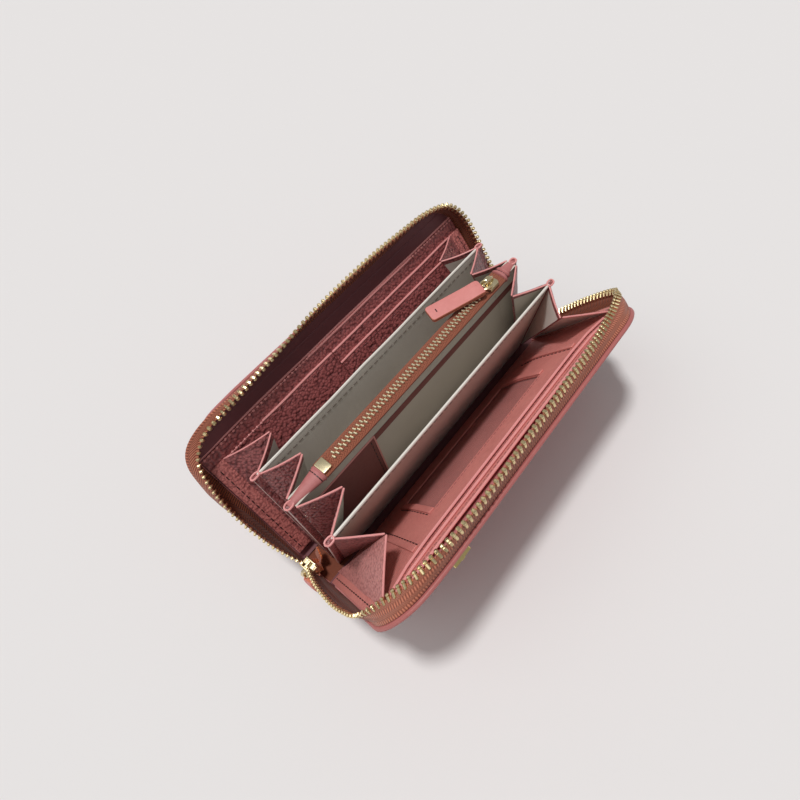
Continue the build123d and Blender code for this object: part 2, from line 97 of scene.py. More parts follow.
# ---- finishes
# wraps a socket, so that a look reads as plain sums
class Wire:
    def __init__(self, tree, socket=None):
        self.tree, self.socket = tree, socket

    def add(self, kind, settings=None, inputs=None, output=0):
        node = self.tree.nodes.new("ShaderNode" + kind)
        for key, value in (settings or {}).items():
            if key == "stops":
                stops = node.color_ramp.elements
                for i, (at, colour) in enumerate(value):
                    stop = stops[i] if i < 2 else stops.new(at)
                    stop.position, stop.color = at, colour
            else:
                setattr(node, key, value)
        for key, value in (inputs or {}).items():
            if isinstance(value, Wire):
                self.tree.links.new(value.socket, node.inputs[key])
            else:
                node.inputs[key].default_value = value
        return Wire(self.tree, node.outputs[output])

    def maths(self, operation, first, second=None):
        inputs = {0: first} if second is None else {0: first, 1: second}
        return self.add("Math", {"operation": operation}, inputs)

    def __add__(self, other): return self.maths("ADD", self, other)
    def __radd__(self, other): return self.maths("ADD", other, self)
    def __sub__(self, other): return self.maths("SUBTRACT", self, other)
    def __rsub__(self, other): return self.maths("SUBTRACT", other, self)
    def __mul__(self, other): return self.maths("MULTIPLY", self, other)
    def __rmul__(self, other): return self.maths("MULTIPLY", other, self)
    def __truediv__(self, other): return self.maths("DIVIDE", self, other)
    def __rtruediv__(self, other): return self.maths("DIVIDE", other, self)


def tint(red, green, blue):
    # screen values 0 to 255 to the renderer's linear colour
    parts = [c / 255 for c in (red, green, blue)]
    return tuple(c / 12.92 if c <= 0.04045 else ((c + 0.055) / 1.055) ** 2.4 for c in parts) + (1.0,)


def mixed(factor, first, second, blend="MIX"):
    return factor.add("Mix", {"data_type": "RGBA", "blend_type": blend}, {0: factor, 6: first, 7: second}, 2)


def finishOf(name, look, **fixed):
    # look(place) gives the varying inputs; "height" goes through a bump as deep as "depth"
    material = bpy.data.materials.new(name)
    material.use_nodes = True
    tree = material.node_tree
    shader = tree.nodes["Principled BSDF"]
    start = Wire(tree)
    coords = start.add("TexCoord", output=3)
    place = start.add("VectorMath", {"operation": "SCALE"}, {0: coords, "Scale": 1 / mm})
    varying = look(place)
    depth = varying.pop("depth", 0.1)
    height = varying.pop("height", None)
    if height is not None:
        varying["Normal"] = start.add("Bump", None, {"Strength": 1.0, "Distance": depth * mm, "Height": height})
    for key, value in varying.items():
        if isinstance(value, Wire):
            tree.links.new(value.socket, shader.inputs[key])
        else:
            shader.inputs[key].default_value = value
    for key, value in fixed.items():
        plain = "Specular IOR Level" if key == "gloss" else key.replace("_", " ")
        shader.inputs[plain].default_value = value
    return material


def noiseAt(place, scale, detail=3.0, output=0):
    return place.add("TexNoise", None, {"Vector": place, "Scale": scale, "Detail": detail}, output)


def pebbled(colour, dark, cell=0.9, depth=0.22, rough=0.5):
    def look(place):
        warp = noiseAt(place, 0.35, 2.0, 1)
        bent = place.add("VectorMath", {"operation": "MULTIPLY_ADD"}, {0: warp, 1: (1.2, 1.2, 1.2), 2: place})
        cells = place.add("TexVoronoi", {"feature": "SMOOTH_F1"},
                          {"Vector": bent, "Scale": cell, "Smoothness": 0.35})
        small = noiseAt(place, 2.6, 4.0)
        broad = noiseAt(place, 0.05, 3.0)
        dome = 1.0 - cells * cells
        shade = cells.add("ValToRGB", {"stops": ((0.3, (0, 0, 0, 1)), (0.8, (1, 1, 1, 1)))}, {0: cells})
        crease = noiseAt(place, 0.28, 5.0)
        body = mixed(broad * 0.6, colour, mixed(small, colour, dark))
        return {"Base Color": mixed(shade * 0.8, body, dark), "Roughness": rough + small * 0.16,
                "height": dome + small * 0.2 + crease * 0.3, "depth": depth}
    return look


def crossGrain(colour, dark, depth=0.1, rough=0.42):
    # fine pressed lines, a little uneven, with a hint of a second set across them
    def look(place):
        wobble = noiseAt(place, 0.4, 2.0)
        lines = place.add("TexWave", {"bands_direction": "DIAGONAL"},
                          {"Vector": place, "Scale": 0.85, "Distortion": 1.6, "Detail": 2.0, "Detail Scale": 1.5})
        stretched = place.add("VectorMath", {"operation": "MULTIPLY"}, {0: place, 1: (0.35, 2.2, 2.2)})
        fibres = noiseAt(stretched, 1.1, 4.0)
        broad = noiseAt(place, 0.06, 3.0)
        body = mixed(broad, colour, mixed(wobble, colour, dark))
        return {"Base Color": mixed(fibres * 0.42 + lines * 0.12, body, dark), "Roughness": rough + fibres * 0.18,
                "height": fibres * 0.8 + lines * 0.35, "depth": depth}
    return look


def smoothEdge(colour, dark):
    def look(place):
        fine = noiseAt(place, 1.4, 4.0)
        broad = noiseAt(place, 0.12, 2.0)
        return {"Base Color": mixed(fine * 0.35 + broad * 0.25, colour, dark), "Roughness": 0.36 + fine * 0.15,
                "height": fine, "depth": 0.05}
    return look


def plainWeave(colour, dark, thread=0.42, depth=0.05, soft=0.35, rough=0.78):
    def look(place):
        apart = place.add("SeparateXYZ", None, {0: place})
        across = place.add("SeparateXYZ", None, {0: place}, 2)
        warp = apart.maths("ABSOLUTE", apart.maths("SINE", apart * (pi / thread)))
        weft = apart.maths("ABSOLUTE", apart.maths("SINE", across * (pi / thread)))
        folds = noiseAt(place, 0.045, 3.0)
        fine = noiseAt(place, 3.0, 3.0)
        weave = (warp + weft) * 0.5
        return {"Base Color": mixed(folds * soft + (1.0 - weave) * 0.12 + fine * 0.08, colour, dark),
                "Roughness": rough + fine * 0.1, "height": weave + folds * 2.0, "depth": depth}
    return look


def herringbone(colour, dark, rib=2.3, twill=1.35, depth=0.2):
    # "weave" runs along the tape in x and across it in y, in millimetres
    def look(place):
        weave = place.add("Attribute", {"attribute_name": "weave"}, output=1)
        along = place.add("SeparateXYZ", None, {0: weave})
        across = place.add("SeparateXYZ", None, {0: weave}, 1)
        zig = across.maths("PINGPONG", across, rib)
        slant = across.maths("SINE", (along + zig) * (2 * pi / twill))
        ribs = across.maths("ABSOLUTE", across.maths("SINE", across * (pi / rib)))
        fine = noiseAt(place, 2.2, 4.0)
        broad = noiseAt(place, 0.08, 2.0)
        shade = (0.5 - slant * 0.5) * 0.8 + (1.0 - ribs) * 0.1 + fine * 0.25 + broad * 0.1
        return {"Base Color": mixed(shade, colour, dark), "Roughness": 0.74 + fine * 0.12,
                "height": slant * 0.5 + ribs * 0.7 + fine * 0.3, "depth": depth}
    return look


def polished(colour, dark, rough=0.22):
    def look(place):
        wear = noiseAt(place, 0.5, 4.0)
        stretched = place.add("VectorMath", {"operation": "MULTIPLY"}, {0: place, 1: (1.0, 9.0, 3.0)})
        scratch = noiseAt(stretched, 1.6, 3.0)
        return {"Base Color": mixed(wear * 0.6, colour, dark), "Roughness": rough + wear * 0.12 + scratch * 0.06,
                "height": scratch, "depth": 0.012}
    return look


def clearFilm(colour, dark):
    def look(place):
        smear = noiseAt(place, 0.05, 3.0)
        return {"Base Color": mixed(smear, colour, dark), "Roughness": 0.08 + smear * 0.14,
                "Alpha": 0.16 + smear * 0.08, "height": smear, "depth": 0.3}
    return look


roseLeather = finishOf("roseLeather", crossGrain(tint(196, 118, 113), tint(160, 86, 84), 0.09), gloss=0.45)
# a lighter copy of the gusset leather, painted light, for the right halves of the fourth bay
paintedLightLeather = finishOf("paintedLightLeather", pebbled(tint(212, 142, 136), tint(150, 88, 86), 0.9, 0.25, 0.42))
pebbleLeather = finishOf("pebbleLeather",
                         pebbled(tint(177, 103, 101), tint(89, 41, 43), 0.62, 0.6, 0.32), gloss=0.55)
slotLeather = finishOf("slotLeather",
                       pebbled(tint(184, 103, 101), tint(94, 44, 46), 0.68, 0.55, 0.34), gloss=0.55)
borderLeather = finishOf("borderLeather",
                         pebbled(tint(218, 131, 124), tint(140, 73, 71), 0.8, 0.35, 0.4), gloss=0.45)
frameLeather = finishOf("frameLeather",
                        crossGrain(tint(228, 148, 137), tint(179, 100, 96), 0.2, 0.45), gloss=0.4)
pullLeather = finishOf("pullLeather", crossGrain(tint(228, 148, 142), tint(200, 116, 110), 0.12), gloss=0.45)
coneLeather = finishOf("coneLeather", crossGrain(tint(204, 130, 126), tint(160, 88, 88), 0.12), gloss=0.5)
slipLeather = finishOf("slipLeather", crossGrain(tint(150, 84, 80), tint(108, 54, 52), 0.1), gloss=0.4)
edgePaint = finishOf("edgePaint", smoothEdge(tint(238, 164, 160), tint(208, 129, 126)), gloss=0.5)
rimPaint = finishOf("rimPaint", smoothEdge(tint(186, 108, 102), tint(128, 66, 64)))
foldEdge = finishOf("foldEdge", smoothEdge(tint(206, 176, 168), tint(168, 128, 122)), gloss=0.5)
pullEdge = finishOf("pullEdge", smoothEdge(tint(214, 130, 104), tint(160, 80, 62)), gloss=0.5)
wineLining = finishOf("wineLining",
                      plainWeave(tint(118, 62, 66), tint(84, 40, 45), 0.5, 0.03, 0.5, 0.6), Sheen_Weight=0.1)
roseLining = finishOf("roseLining",
                      plainWeave(tint(220, 142, 138), tint(180, 104, 104), 0.5, 0.03, 0.5, 0.6), Sheen_Weight=0.1)
greyLining = finishOf("greyLining", plainWeave(tint(215, 207, 195), tint(170, 159, 147)), Sheen_Weight=0.15)
paleEdge = finishOf("paleEdge", smoothEdge(tint(236, 231, 222), tint(206, 198, 188)), gloss=0.3)
# a darker copy of the zip tape, painted shade, for tape faces turned to the inside and the spine lining's near end
paintedShadeTape = finishOf("paintedShadeTape", herringbone(tint(160, 79, 42), tint(84, 38, 22)), Sheen_Weight=0.1)
zipTape = finishOf("zipTape", herringbone(tint(206, 128, 100), tint(128, 62, 42)), Sheen_Weight=0.2)
coinTape = finishOf("coinTape", herringbone(tint(186, 108, 78), tint(112, 54, 34), 1.6, 1.0), Sheen_Weight=0.2)
tailTape = finishOf("tailTape", herringbone(tint(228, 122, 62), tint(150, 66, 26)), Sheen_Weight=0.2)
brass = finishOf("brass", polished(tint(226, 200, 146), tint(190, 158, 104)), Metallic=1.0)
brightBrass = finishOf("brightBrass", polished(tint(244, 222, 156), tint(214, 184, 112), 0.12), Metallic=1.0)
paleBrass = finishOf("paleBrass", polished(tint(240, 222, 176), tint(190, 162, 112), 0.22), Metallic=1.0)
sliderBrass = finishOf("sliderBrass", polished(tint(248, 234, 196), tint(220, 198, 146), 0.16), Metallic=1.0)
silverBrass = finishOf("silverBrass", polished(tint(232, 220, 190), tint(186, 168, 130), 0.28), Metallic=1.0)
film = finishOf("film", clearFilm(tint(190, 150, 146), tint(170, 120, 118)), IOR=1.4)
darkThread = finishOf("darkThread", smoothEdge(tint(58, 26, 26), tint(36, 14, 16)))
greyThread = finishOf("greyThread", smoothEdge(tint(132, 120, 110), tint(92, 82, 74)))
seamThread = finishOf("seamThread", smoothEdge(tint(150, 84, 84), tint(96, 48, 50)))
tickThread = finishOf("tickThread", smoothEdge(tint(176, 112, 110), tint(140, 82, 82)))
print("finishes made")


# ---- shaping
def wide(edge):
    return (edge.verts[0].co - edge.verts[1].co).normalized()


def bevelEdges(bm, edges, offset, segments=2):
    bmesh.ops.bevel(bm, geom=edges, offset=offset, offset_type="OFFSET", segments=segments, profile=0.5,
                    affect="EDGES", clamp_overlap=True, material=-1)


def roundCorners(bm, corners, radius, segments):
    bmesh.ops.bevel(bm, geom=corners, offset=radius, offset_type="OFFSET", segments=segments, profile=0.5,
                    affect="VERTICES", material=-1)

def cutAlong(bm, spots, normal):
    for spot in spots:
        geom = bm.verts[:] + bm.edges[:] + bm.faces[:]
        bmesh.ops.bisect_plane(bm, geom=geom, plane_co=spot, plane_no=normal)

def cutAcross(bm, axis, places):
    normal = Vector((0, 0, 0))
    normal[axis] = 1
    cutAlong(bm, [normal * at for at in places], normal)

def grownVerts(grown):
    return [g for g in grown if isinstance(g, bmesh.types.BMVert)]

def turnTo(x, y, z, at=(0, 0, 0)):
    # a matrix from its three axes and its place
    return Matrix.Translation(at) @ Matrix((x, y, z)).transposed().to_4x4()


def slab(low, high, corner=0.0, rim=0.2, step=0.0, every=False):
    # a flat panel: rounded top corners, softened rims, cut into a grid where it has to bend
    bm = bmesh.new()
    bmesh.ops.create_cube(bm, size=1)
    bmesh.ops.scale(bm, vec=high - low, verts=bm.verts)
    bmesh.ops.translate(bm, vec=(low + high) / 2, verts=bm.verts)
    middle = (low.y + high.y) / 2
    if corner:
        posts = [e for e in bm.edges if abs(wide(e).z) > 0.9 and (every or e.verts[0].co.y > middle)]
        bevelEdges(bm, posts, corner, 10)
    rims = [e for e in bm.edges if abs(wide(e).z) < 0.1 and len(e.link_faces) == 2
            and abs(e.link_faces[0].normal.z - e.link_faces[1].normal.z) > 0.5]
    bevelEdges(bm, rims, min(rim, (high.z - low.z) * 0.45), 3)
    if step:
        cutAcross(bm, 0, [low.x + step * i for i in range(1, int((high.x - low.x) / step) + 1)])
        cutAcross(bm, 1, [low.y + step * i for i in range(1, int((high.y - low.y) / step) + 1)])
    return bm


def settle(bm, amount, scale, seed):
    # slow waves of worked leather or cloth, along the leaf's own z
    for v in bm.verts:
        v.co.z += amount * noise.noise(Vector((v.co.x * scale, v.co.y * scale, seed)))


def paintFaces(bm, rule):
    for face in bm.faces:
        face.material_index = rule(face.calc_center_median(), face.normal)


def keepMesh(bm, name):
    mesh = bpy.data.meshes.new(name)
    bm.to_mesh(mesh)
    bm.free()
    return mesh

def finishPiece(name, bm, body, materials, replaced=(), place=None, sharp=42):
    if place is not None:
        bmesh.ops.transform(bm, matrix=place, verts=bm.verts)
    bmesh.ops.recalc_face_normals(bm, faces=bm.faces)
    mesh = keepMesh(bm, name)
    for material in materials:
        mesh.materials.append(material)
    for face in mesh.polygons:
        face.use_smooth = True
    mesh.set_sharp_from_angle(angle=radians(sharp))
    piece = bpy.data.objects.new(name, mesh)
    scene.collection.objects.link(piece)
    if isinstance(body, dict):
        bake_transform(piece)
    else:
        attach(piece, body)
    if replaced:
        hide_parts(*replaced)
    return piece


def toDirection(direction):
    return direction.to_track_quat("Z", "Y").to_matrix().to_4x4()


def piping(bm, path, radius, index=0, closed=False, segments=7):
    # a round edge along a few points, with domed ends
    loops, last = [], len(path) - 1
    stations = [(at, radius) for at in path]
    if not closed:
        first, final = (path[0] - path[1]).normalized(), (path[-1] - path[-2]).normalized()
        caps = [(at + way * radius * 0.7, radius * 0.55) for at, way in ((path[0], first), (path[-1], final))]
        stations = [caps[0]] + stations + [caps[1]]
        last += 2
    for i, (at, size) in enumerate(stations):
        before = stations[i - 1][0] if i or closed else at
        after = stations[(i + 1) % (last + 1)][0] if i < last or closed else at
        turn = Matrix.Translation(at) @ toDirection(after - before)
        capped = not closed and i in (0, last)
        made = bmesh.ops.create_circle(bm, cap_ends=capped, segments=segments, radius=size, matrix=turn)
        ring = set(made["verts"])
        loops.append([e for e in {e for v in ring for e in v.link_edges} if ring.issuperset(e.verts)])
    pairs = list(zip(loops, loops[1:])) + ([(loops[-1], loops[0])] if closed else [])
    faces = {f for loop in (loops[0], loops[-1]) for e in loop for f in e.link_faces}
    for first, second in pairs:
        faces.update(bmesh.ops.bridge_loops(bm, edges=first + second)["faces"])
    for face in faces:
        face.material_index = index


def curveThrough(points, each=8):
    line = []
    for i in range(len(points) - 1):
        a, b = points[i], points[i + 1]
        before, after = points[max(i - 1, 0)], points[min(i + 2, len(points) - 1)]
        line += interpolate_bezier(a, a + (b - before) / 6, b - (after - a) / 6, b, each + 1)[:-1]
    return line + [points[-1].copy()]


def loopRound(middle, longWay, wideWay, long, wide):
    # points round a long flat loop, with half-round ends
    points = []
    for end in (1, -1):
        for i in range(5):
            turn = radians(-90 + 45 * i)
            reach = longWay * (long / 2 - wide / 2 + wide / 2 * cos(turn))
            points.append(middle + (reach + wideWay * (wide / 2 * sin(turn))) * end)
    return points


def addShape(bm, part, place=None, index=None):
    # joins one bmesh into another, and lets the first go
    if place is not None:
        bmesh.ops.transform(part, matrix=place, verts=part.verts)
    if index is not None:
        for face in part.faces:
            face.material_index = index
    shape = keepMesh(part, "part")
    bm.from_mesh(shape)
    bpy.data.meshes.remove(shape)


def markWeave(bm, rule):
    # tells a tape's weave which way it runs
    weave = bm.verts.layers.float_vector.new("weave")
    for v in bm.verts:
        v[weave] = rule(v.co)

def eased(value):
    value = min(max(value, 0), 1)
    return value * value * (3 - 2 * value)


def stitchRow(bm, start, end, up, look, index=0, crosswise=False):
    # short rounded stitches between two points; up is the way out of the surface
    way = end - start
    count = max(1, int(way.length / look["pitch"]))
    along = way.normalized()
    side = up.cross(along).normalized()
    turn = turnTo(side, -along, up) if crosswise else turnTo(along, side, up)
    for i in range(count):
        at = start + way * ((i + 0.5) / count) + up * look["lift"]
        stitch = bmesh.new()
        bmesh.ops.create_cube(stitch, size=1)
        bmesh.ops.scale(stitch, vec=(look["long"], look["wide"], look["high"]), verts=stitch.verts)
        bevelEdges(stitch, stitch.edges[:], min(look["wide"], look["high"]) * 0.35, 1)
        addShape(bm, stitch, Matrix.Translation(at) @ turn, index)


def seamRow(bm, first, last, level, look, index=0, crosswise=False, up=1):
    # a stitched line on a flat panel, from one (x, y) to another
    stitchRow(bm, Vector((*first, level)), Vector((*last, level)), Vector((0, 0, up)), look, index, crosswise)


stitches = {"pitch": 3.7, "long": 2.5, "wide": 0.55, "high": 0.3, "lift": 0.02}
fineStitches = {"pitch": 2.6, "long": 1.7, "wide": 0.34, "high": 0.26, "lift": 0.0}
pinking = {"pitch": 2.6, "long": 1.4, "wide": 1.3, "high": 1.1, "lift": 0.2}
ticks = {"pitch": 2.1, "long": 2.8, "wide": 0.6, "high": 0.25, "lift": 0.0}


# ---- covers: crowned leather shells and their dark lining
cover = {
    "corner": 22.0, "rim": 0.8, "crown": 0.35, "step": 9.0, "leftCurl": 4.0, "rightCurl": 1.5,
    "leftEdge": 3.0, "leftDrawn": 4.0, "rightEdge": 0.0, "rightDrawn": 0.0,
}


def curled(side, x, up):
    # the zip draws a cover's long edge and its near corner towards the inside
    name = "left" if side > 0 else "right"
    return (cover[name + "Curl"] * eased((-x - 60) / 38) * eased((up - 62) / 40)
            + cover[name + "Edge"] * eased((up - 78) / 22) * eased((96 - x) / 14))


def drawnIn(side, up):
    return cover["leftDrawn" if side > 0 else "rightDrawn"] * eased((up - 70) / 30)


spineLow, spineHigh = span("spine_leather", room)
for name, place, side in (("left", leftLeaf, 1), ("right", rightLeaf, -1)):
    body = name + "_cover"
    low, high = span(name + "_cover_leather", place)
    bm = slab(low, high, cover["corner"], cover["rim"], cover["step"])
    half, tall = high.x, high.y
    for v in bm.verts:
        rise = (1 - (v.co.x / half) ** 2) * sin(pi * min(1, max(0, v.co.y / tall)))
        if v.co.z < (low.z + high.z) / 2:
            v.co.z -= cover["crown"] * rise
    paintFaces(bm, lambda at, out: 1 if at.z > high.z - 0.55 and abs(out.z) < 0.95 else 0)
    for v in bm.verts:
        v.co.z += curled(side, v.co.x, v.co.y)
        v.co.y -= drawnIn(side, v.co.y)
    finishPiece(name + "CoverLeather", bm, body, (roseLeather, rimPaint),
                (name + "_cover_leather",), place)

    low, high = span(name + "_cover_lining", place)
    bm = slab(low, high, 20.0, 0.15, 5.0)
    cutAcross(bm, 1, (93.2, 94.0, 94.8))
    for v in bm.verts:
        if side > 0 and abs(v.co.y - 94.0) < 0.1 and v.co.z > high.z - 0.2:
            v.co.z -= 0.35
        v.co.z += curled(side, v.co.x, v.co.y)
        v.co.y -= drawnIn(side, v.co.y)
    settle(bm, 0.25, 0.06, 3.0 * side)
    if side > 0:
        for first, last in ((-72, -46), (-12, 40)):  # rows of ticks behind the first slot
            level = high.z + 0.3
            seamRow(bm, (first, 85.5), (last, 87), level, ticks, 1, True)
    finishPiece(name + "CoverLining", bm, body, (wineLining if side > 0 else roseLining, tickThread),
                (name + "_cover_lining",), place)

    # the leather and the lining carry on round the hinge
    leaf = leafMatrix(name + "_hinge", side)
    for strip, section, thick, slotName, material in (
            ("HingeLeather", ((9.5, 0.02), (11.6, 0.02)), 0.5, "outer_leather", roseLeather),
            ("HingeLining", ((9.5, 2.5), (11.0, 2.45)), 0.25, "lining", wineLining)):
        level = -2.15 if "Leather" in strip else 0.5
        up = [(0.8, level), (2.5, level), (5.0, level)] if "Leather" in strip else [(1.0, level), (3.0, level)]
        path = [Vector((0, side * y, z)) for y, z in section]
        for v, n in up:
            spot = leaf @ Vector((0, v, n)) / mm
            path.append(Vector((0, spot.y, max(spot.z, 0.02))))
        bm = bmesh.new()
        ends = [bm.verts.new(p + Vector((-96.5, 0, 0))) for p in path]
        edges = [bm.edges.new(pair) for pair in zip(ends, ends[1:])]
        grown = bmesh.ops.extrude_edge_only(bm, edges=edges)["geom"]
        bmesh.ops.translate(bm, vec=(193, 0, 0), verts=grownVerts(grown))
        bmesh.ops.recalc_face_normals(bm, faces=bm.faces)
        bmesh.ops.solidify(bm, geom=bm.faces[:], thickness=thick)
        crossing = {"from": "root", "to": body,
                    "start": (0, side * 0.0105, 0.001), "end": (0, side * 0.0155, 0.0035)}
        finishPiece(name + strip, bm, crossing, (material,), (), room)

bm = slab(spineLow, spineHigh, 0, 0.5, 8.0)
finishPiece("spineLeather", bm, "root", (roseLeather,), ("spine_leather",), room)
low, high = span("spine_lining", room)
bm = slab(low, high, 0, 0.15, 6.0)
# the spine lining's near end takes the darker copy of the zip tape, painted shade
paintFaces(bm, lambda at, out: 1 if at.x < -64 else 0)
finishPiece("spineLining", bm, "root", (wineLining, paintedShadeTape), ("spine_lining",), room)
print("covers made")


# ---- outer zip: a tape from the cover's edge up to its row of teeth
outerZip = {
    "inset": 1.3, "foot": 8.0, "sewnCorner": 20.7, "thick": 0.7, "pitch": 2.95, "tapeMouth": (-96.8, 6.0, 7.0),
    "free": 34.0, "bulge": 0.8, "corner": 4.2, "endSize": 0.72,
    "blendStart": (10.0, 18.0), "blendEnd": (20.0, 8.0),
}
# the row of teeth seen flat on each cover: along it, up it, and how far it stands to the inside
# most of these points are rounded or adjusted from what a separate measuring script printed
toothLines = {
    "left": ((-97.5, 10, 18.2), (-101, 30, 15.5), (-102, 52, 12), (-100.5, 68, 10), (-97.6, 80.5, 9),
             (-93.6, 87.5, 9), (-84.5, 93, 9), (-65, 95.5, 9), (-37, 97.8, 9), (-9, 100.4, 9), (28, 101, 9),
             (56, 99.7, 9), (77, 97.7, 9), (92, 92.4, 9), (98.5, 80, 9.5), (98, 60, 10), (96, 34, 11),
             (93, 12, 12), (92, 2, 12)),
    "right": ((-97.5, 8.3, 19), (-100.5, 27, 15), (-101.5, 47, 10), (-100.3, 62, 7.6), (-98, 73.5, 7),
              (-89.5, 86, 7), (-74, 98, 7), (-55.5, 104.8, 7), (-37, 106.5, 7), (-17, 105.4, 7), (0, 104.4, 7),
              (25, 102.5, 7), (55, 100, 7), (81.5, 93.6, 7), (97, 86, 7.4), (103, 76, 7), (104, 52, 7.6),
              (102, 28, 8), (96, 9, 11), (92, 2, 12)),
}


def rimChain(half, foot, top, corner):
    # points up one end of a cover, along its top and down the other end
    bm = bmesh.new()
    corners = [bm.verts.new((x, y, 0)) for x, y in ((-half, foot), (-half, top), (half, top), (half, foot))]
    bm.faces.new(corners)
    roundCorners(bm, corners[1:3], corner, 12)
    for edge in [e for e in bm.edges if e.calc_length() > 20 and e.verts[0].co.y + e.verts[1].co.y > 2.5 * foot]:
        bmesh.ops.subdivide_edges(bm, edges=[edge], cuts=int(edge.calc_length() / 3))
    point = min(bm.verts, key=lambda v: (v.co - Vector((-half, foot, 0))).length)
    last = min(bm.verts, key=lambda v: (v.co - Vector((half, foot, 0))).length)
    chain, seen = [point.co.copy()], {point, last}
    while True:
        steps = [e.other_vert(point) for e in point.link_edges if e.other_vert(point) not in seen]
        if not steps:
            break
        point = steps[0]
        seen.add(point)
        chain.append(point.co.copy())
    chain.append(last.co.copy())
    bm.free()
    return chain


def lengthsAlong(chain):
    total = [0.0]
    for first, second in zip(chain, chain[1:]):
        total.append(total[-1] + (second - first).length)
    return total


def pointAt(chain, lengths, share):
    at = min(max(share, 0), 1) * lengths[-1]
    for i in range(1, len(chain)):
        if lengths[i] >= at:
            step = (at - lengths[i - 1]) / max(lengths[i] - lengths[i - 1], 1e-9)
            return chain[i - 1].lerp(chain[i], step)
    return chain[-1].copy()


def block(size, at, bevel, taper=(1, 1)):
    bm = bmesh.new()
    bmesh.ops.create_cube(bm, size=1)
    bmesh.ops.scale(bm, vec=(taper[0], taper[1], 1), verts=[v for v in bm.verts if v.co.z > 0])
    bmesh.ops.scale(bm, vec=size, verts=bm.verts)
    bmesh.ops.translate(bm, vec=at, verts=bm.verts)
    bevelEdges(bm, bm.edges[:], bevel, 1)
    return bm


tooth = {"head": (1.75, 2.3, 1.7), "headAt": 1.35, "legs": (1.3, 2.5, 2.6), "legsAt": -0.5}
toothBm = block(tooth["head"], (0, 0, tooth["headAt"]), 0.5)
addShape(toothBm, block(tooth["legs"], (0, 0, tooth["legsAt"]), 0.32, (1.15, 0.9)))
toothMesh = keepMesh(toothBm, "toothShape")


def addTooth(bm, shape, at, along, across, out, size=1.0):
    before = len(bm.verts)
    bm.from_mesh(shape)
    bm.verts.ensure_lookup_table()
    bmesh.ops.transform(bm, matrix=turnTo(along * size, across * size, out * size, at), verts=bm.verts[before:])


coverHigh = span("left_cover_leather", leftLeaf)[1]
for name, place, side in (("left", leftLeaf, 1), ("right", rightLeaf, -1)):
    half, top = coverHigh.x - outerZip["inset"], coverHigh.y - outerZip["inset"]
    x, y, z = outerZip["tapeMouth"]
    tapeMouth = place.inverted() @ Vector((x * mm, side * y * mm, z * mm))
    sewn = rimChain(half, outerZip["foot"], top, outerZip["sewnCorner"])
    for point in sewn:
        point.z = 0.3 + curled(side, point.x, point.y)
        point.y -= drawnIn(side, point.y)
        if point.x < 0:
            share = eased((outerZip["free"] - point.y) / (outerZip["free"] - outerZip["foot"]))
            point.xyz = point.lerp(tapeMouth, share)
    crest = curveThrough([Vector(p) for p in toothLines[name]])
    sewnRun, crestRun = lengthsAlong(sewn), lengthsAlong(crest)
    steps = 160
    bm = bmesh.new()
    weave = bm.verts.layers.float_vector.new("weave")
    first = [bm.verts.new(pointAt(sewn, sewnRun, i / steps)) for i in range(steps + 1)]
    edges = [bm.edges.new(pair) for pair in zip(first, first[1:])]
    lines = [first]
    for part in (0.25, 0.5, 0.75, 1.0):
        grown = bmesh.ops.extrude_edge_only(bm, edges=edges)["geom"]
        fresh = grownVerts(grown)
        edges = [g for g in grown if isinstance(g, bmesh.types.BMEdge)
                 and g.verts[0] in fresh and g.verts[1] in fresh]
        order = {v: i for i, v in enumerate(lines[-1])}
        line = [None] * (steps + 1)
        for v in fresh:
            old = [e.other_vert(v) for e in v.link_edges if e.other_vert(v) in order][0]
            i = order[old]
            a, b = pointAt(sewn, sewnRun, i / steps), pointAt(crest, crestRun, i / steps)
            v.co = a.lerp(b, part)
            outward = Vector((v.co.x / half, 0.8 * eased((v.co.y - 70) / 20), 0))
            corner = eased((-v.co.x - 55) / 35) * eased((v.co.y - 40) / 30) if side > 0 else 0
            corner *= outerZip["corner"]
            v.co += outward * sin(pi * part) * (outerZip["bulge"] + corner)
            line[i] = v
        lines.append(line)
    for i in range(steps + 1):
        for j, line in enumerate(lines):
            line[i][weave] = (i / steps * sewnRun[-1], j * 2.5, 0)
    bmesh.ops.recalc_face_normals(bm, faces=bm.faces)
    bmesh.ops.solidify(bm, geom=bm.faces[:], thickness=outerZip["thick"])
    # tape faces turned to the inside take the darker copy of the tape, painted shade
    paintFaces(bm, lambda at, out:
               1 if out.dot(Vector((-at.x / half, -0.8 * eased((at.y - 70) / 20), 0))) > 0 else 0)
    gather = {"from": "root", "to": name + "_cover"}
    for key, (v, n) in (("start", outerZip["blendStart"]), ("end", outerZip["blendEnd"])):
        gather[key] = tuple(place @ Vector((0, v, n)))
    finishPiece(name + "ZipTape", bm, gather, (zipTape, paintedShadeTape), (name + "_zip_tape",), place)

    bm = bmesh.new()
    count = int(crestRun[-1] / outerZip["pitch"])
    for i in range(count):
        share = (i + 0.5) / count
        at, root = pointAt(crest, crestRun, share), pointAt(sewn, sewnRun, share)
        along = (pointAt(crest, crestRun, share + 0.004) - pointAt(crest, crestRun, share - 0.004)).normalized()
        out = (at - root).normalized()
        out = (out - along * out.dot(along)).normalized()
        across = out.cross(along).normalized()
        size = outerZip["endSize"] + (1 - outerZip["endSize"]) * eased((at.x + 93) / 12)
        addTooth(bm, toothMesh, at, along, across, out, size)
    finishPiece(name + "ZipTeeth", bm, gather, (paleBrass,), (name + "_zip_teeth",), place, 25)
print("outer zip made")

# ---- left cover: slip pocket, card slots, stitched flanges
cards = {"roll": 0.68, "step": 4.5, "borderSeam": 1.2}
puff = {"foot": 8, "rise": 40, "half": 93, "ends": 30}


def puffed(bm, lift):
    # a panel stands away from its cover along its middle
    for v in bm.verts:
        middle = eased((puff["half"] - abs(v.co.x)) / puff["ends"])
        v.co.z += lift * eased((v.co.y - puff["foot"]) / puff["rise"]) * middle


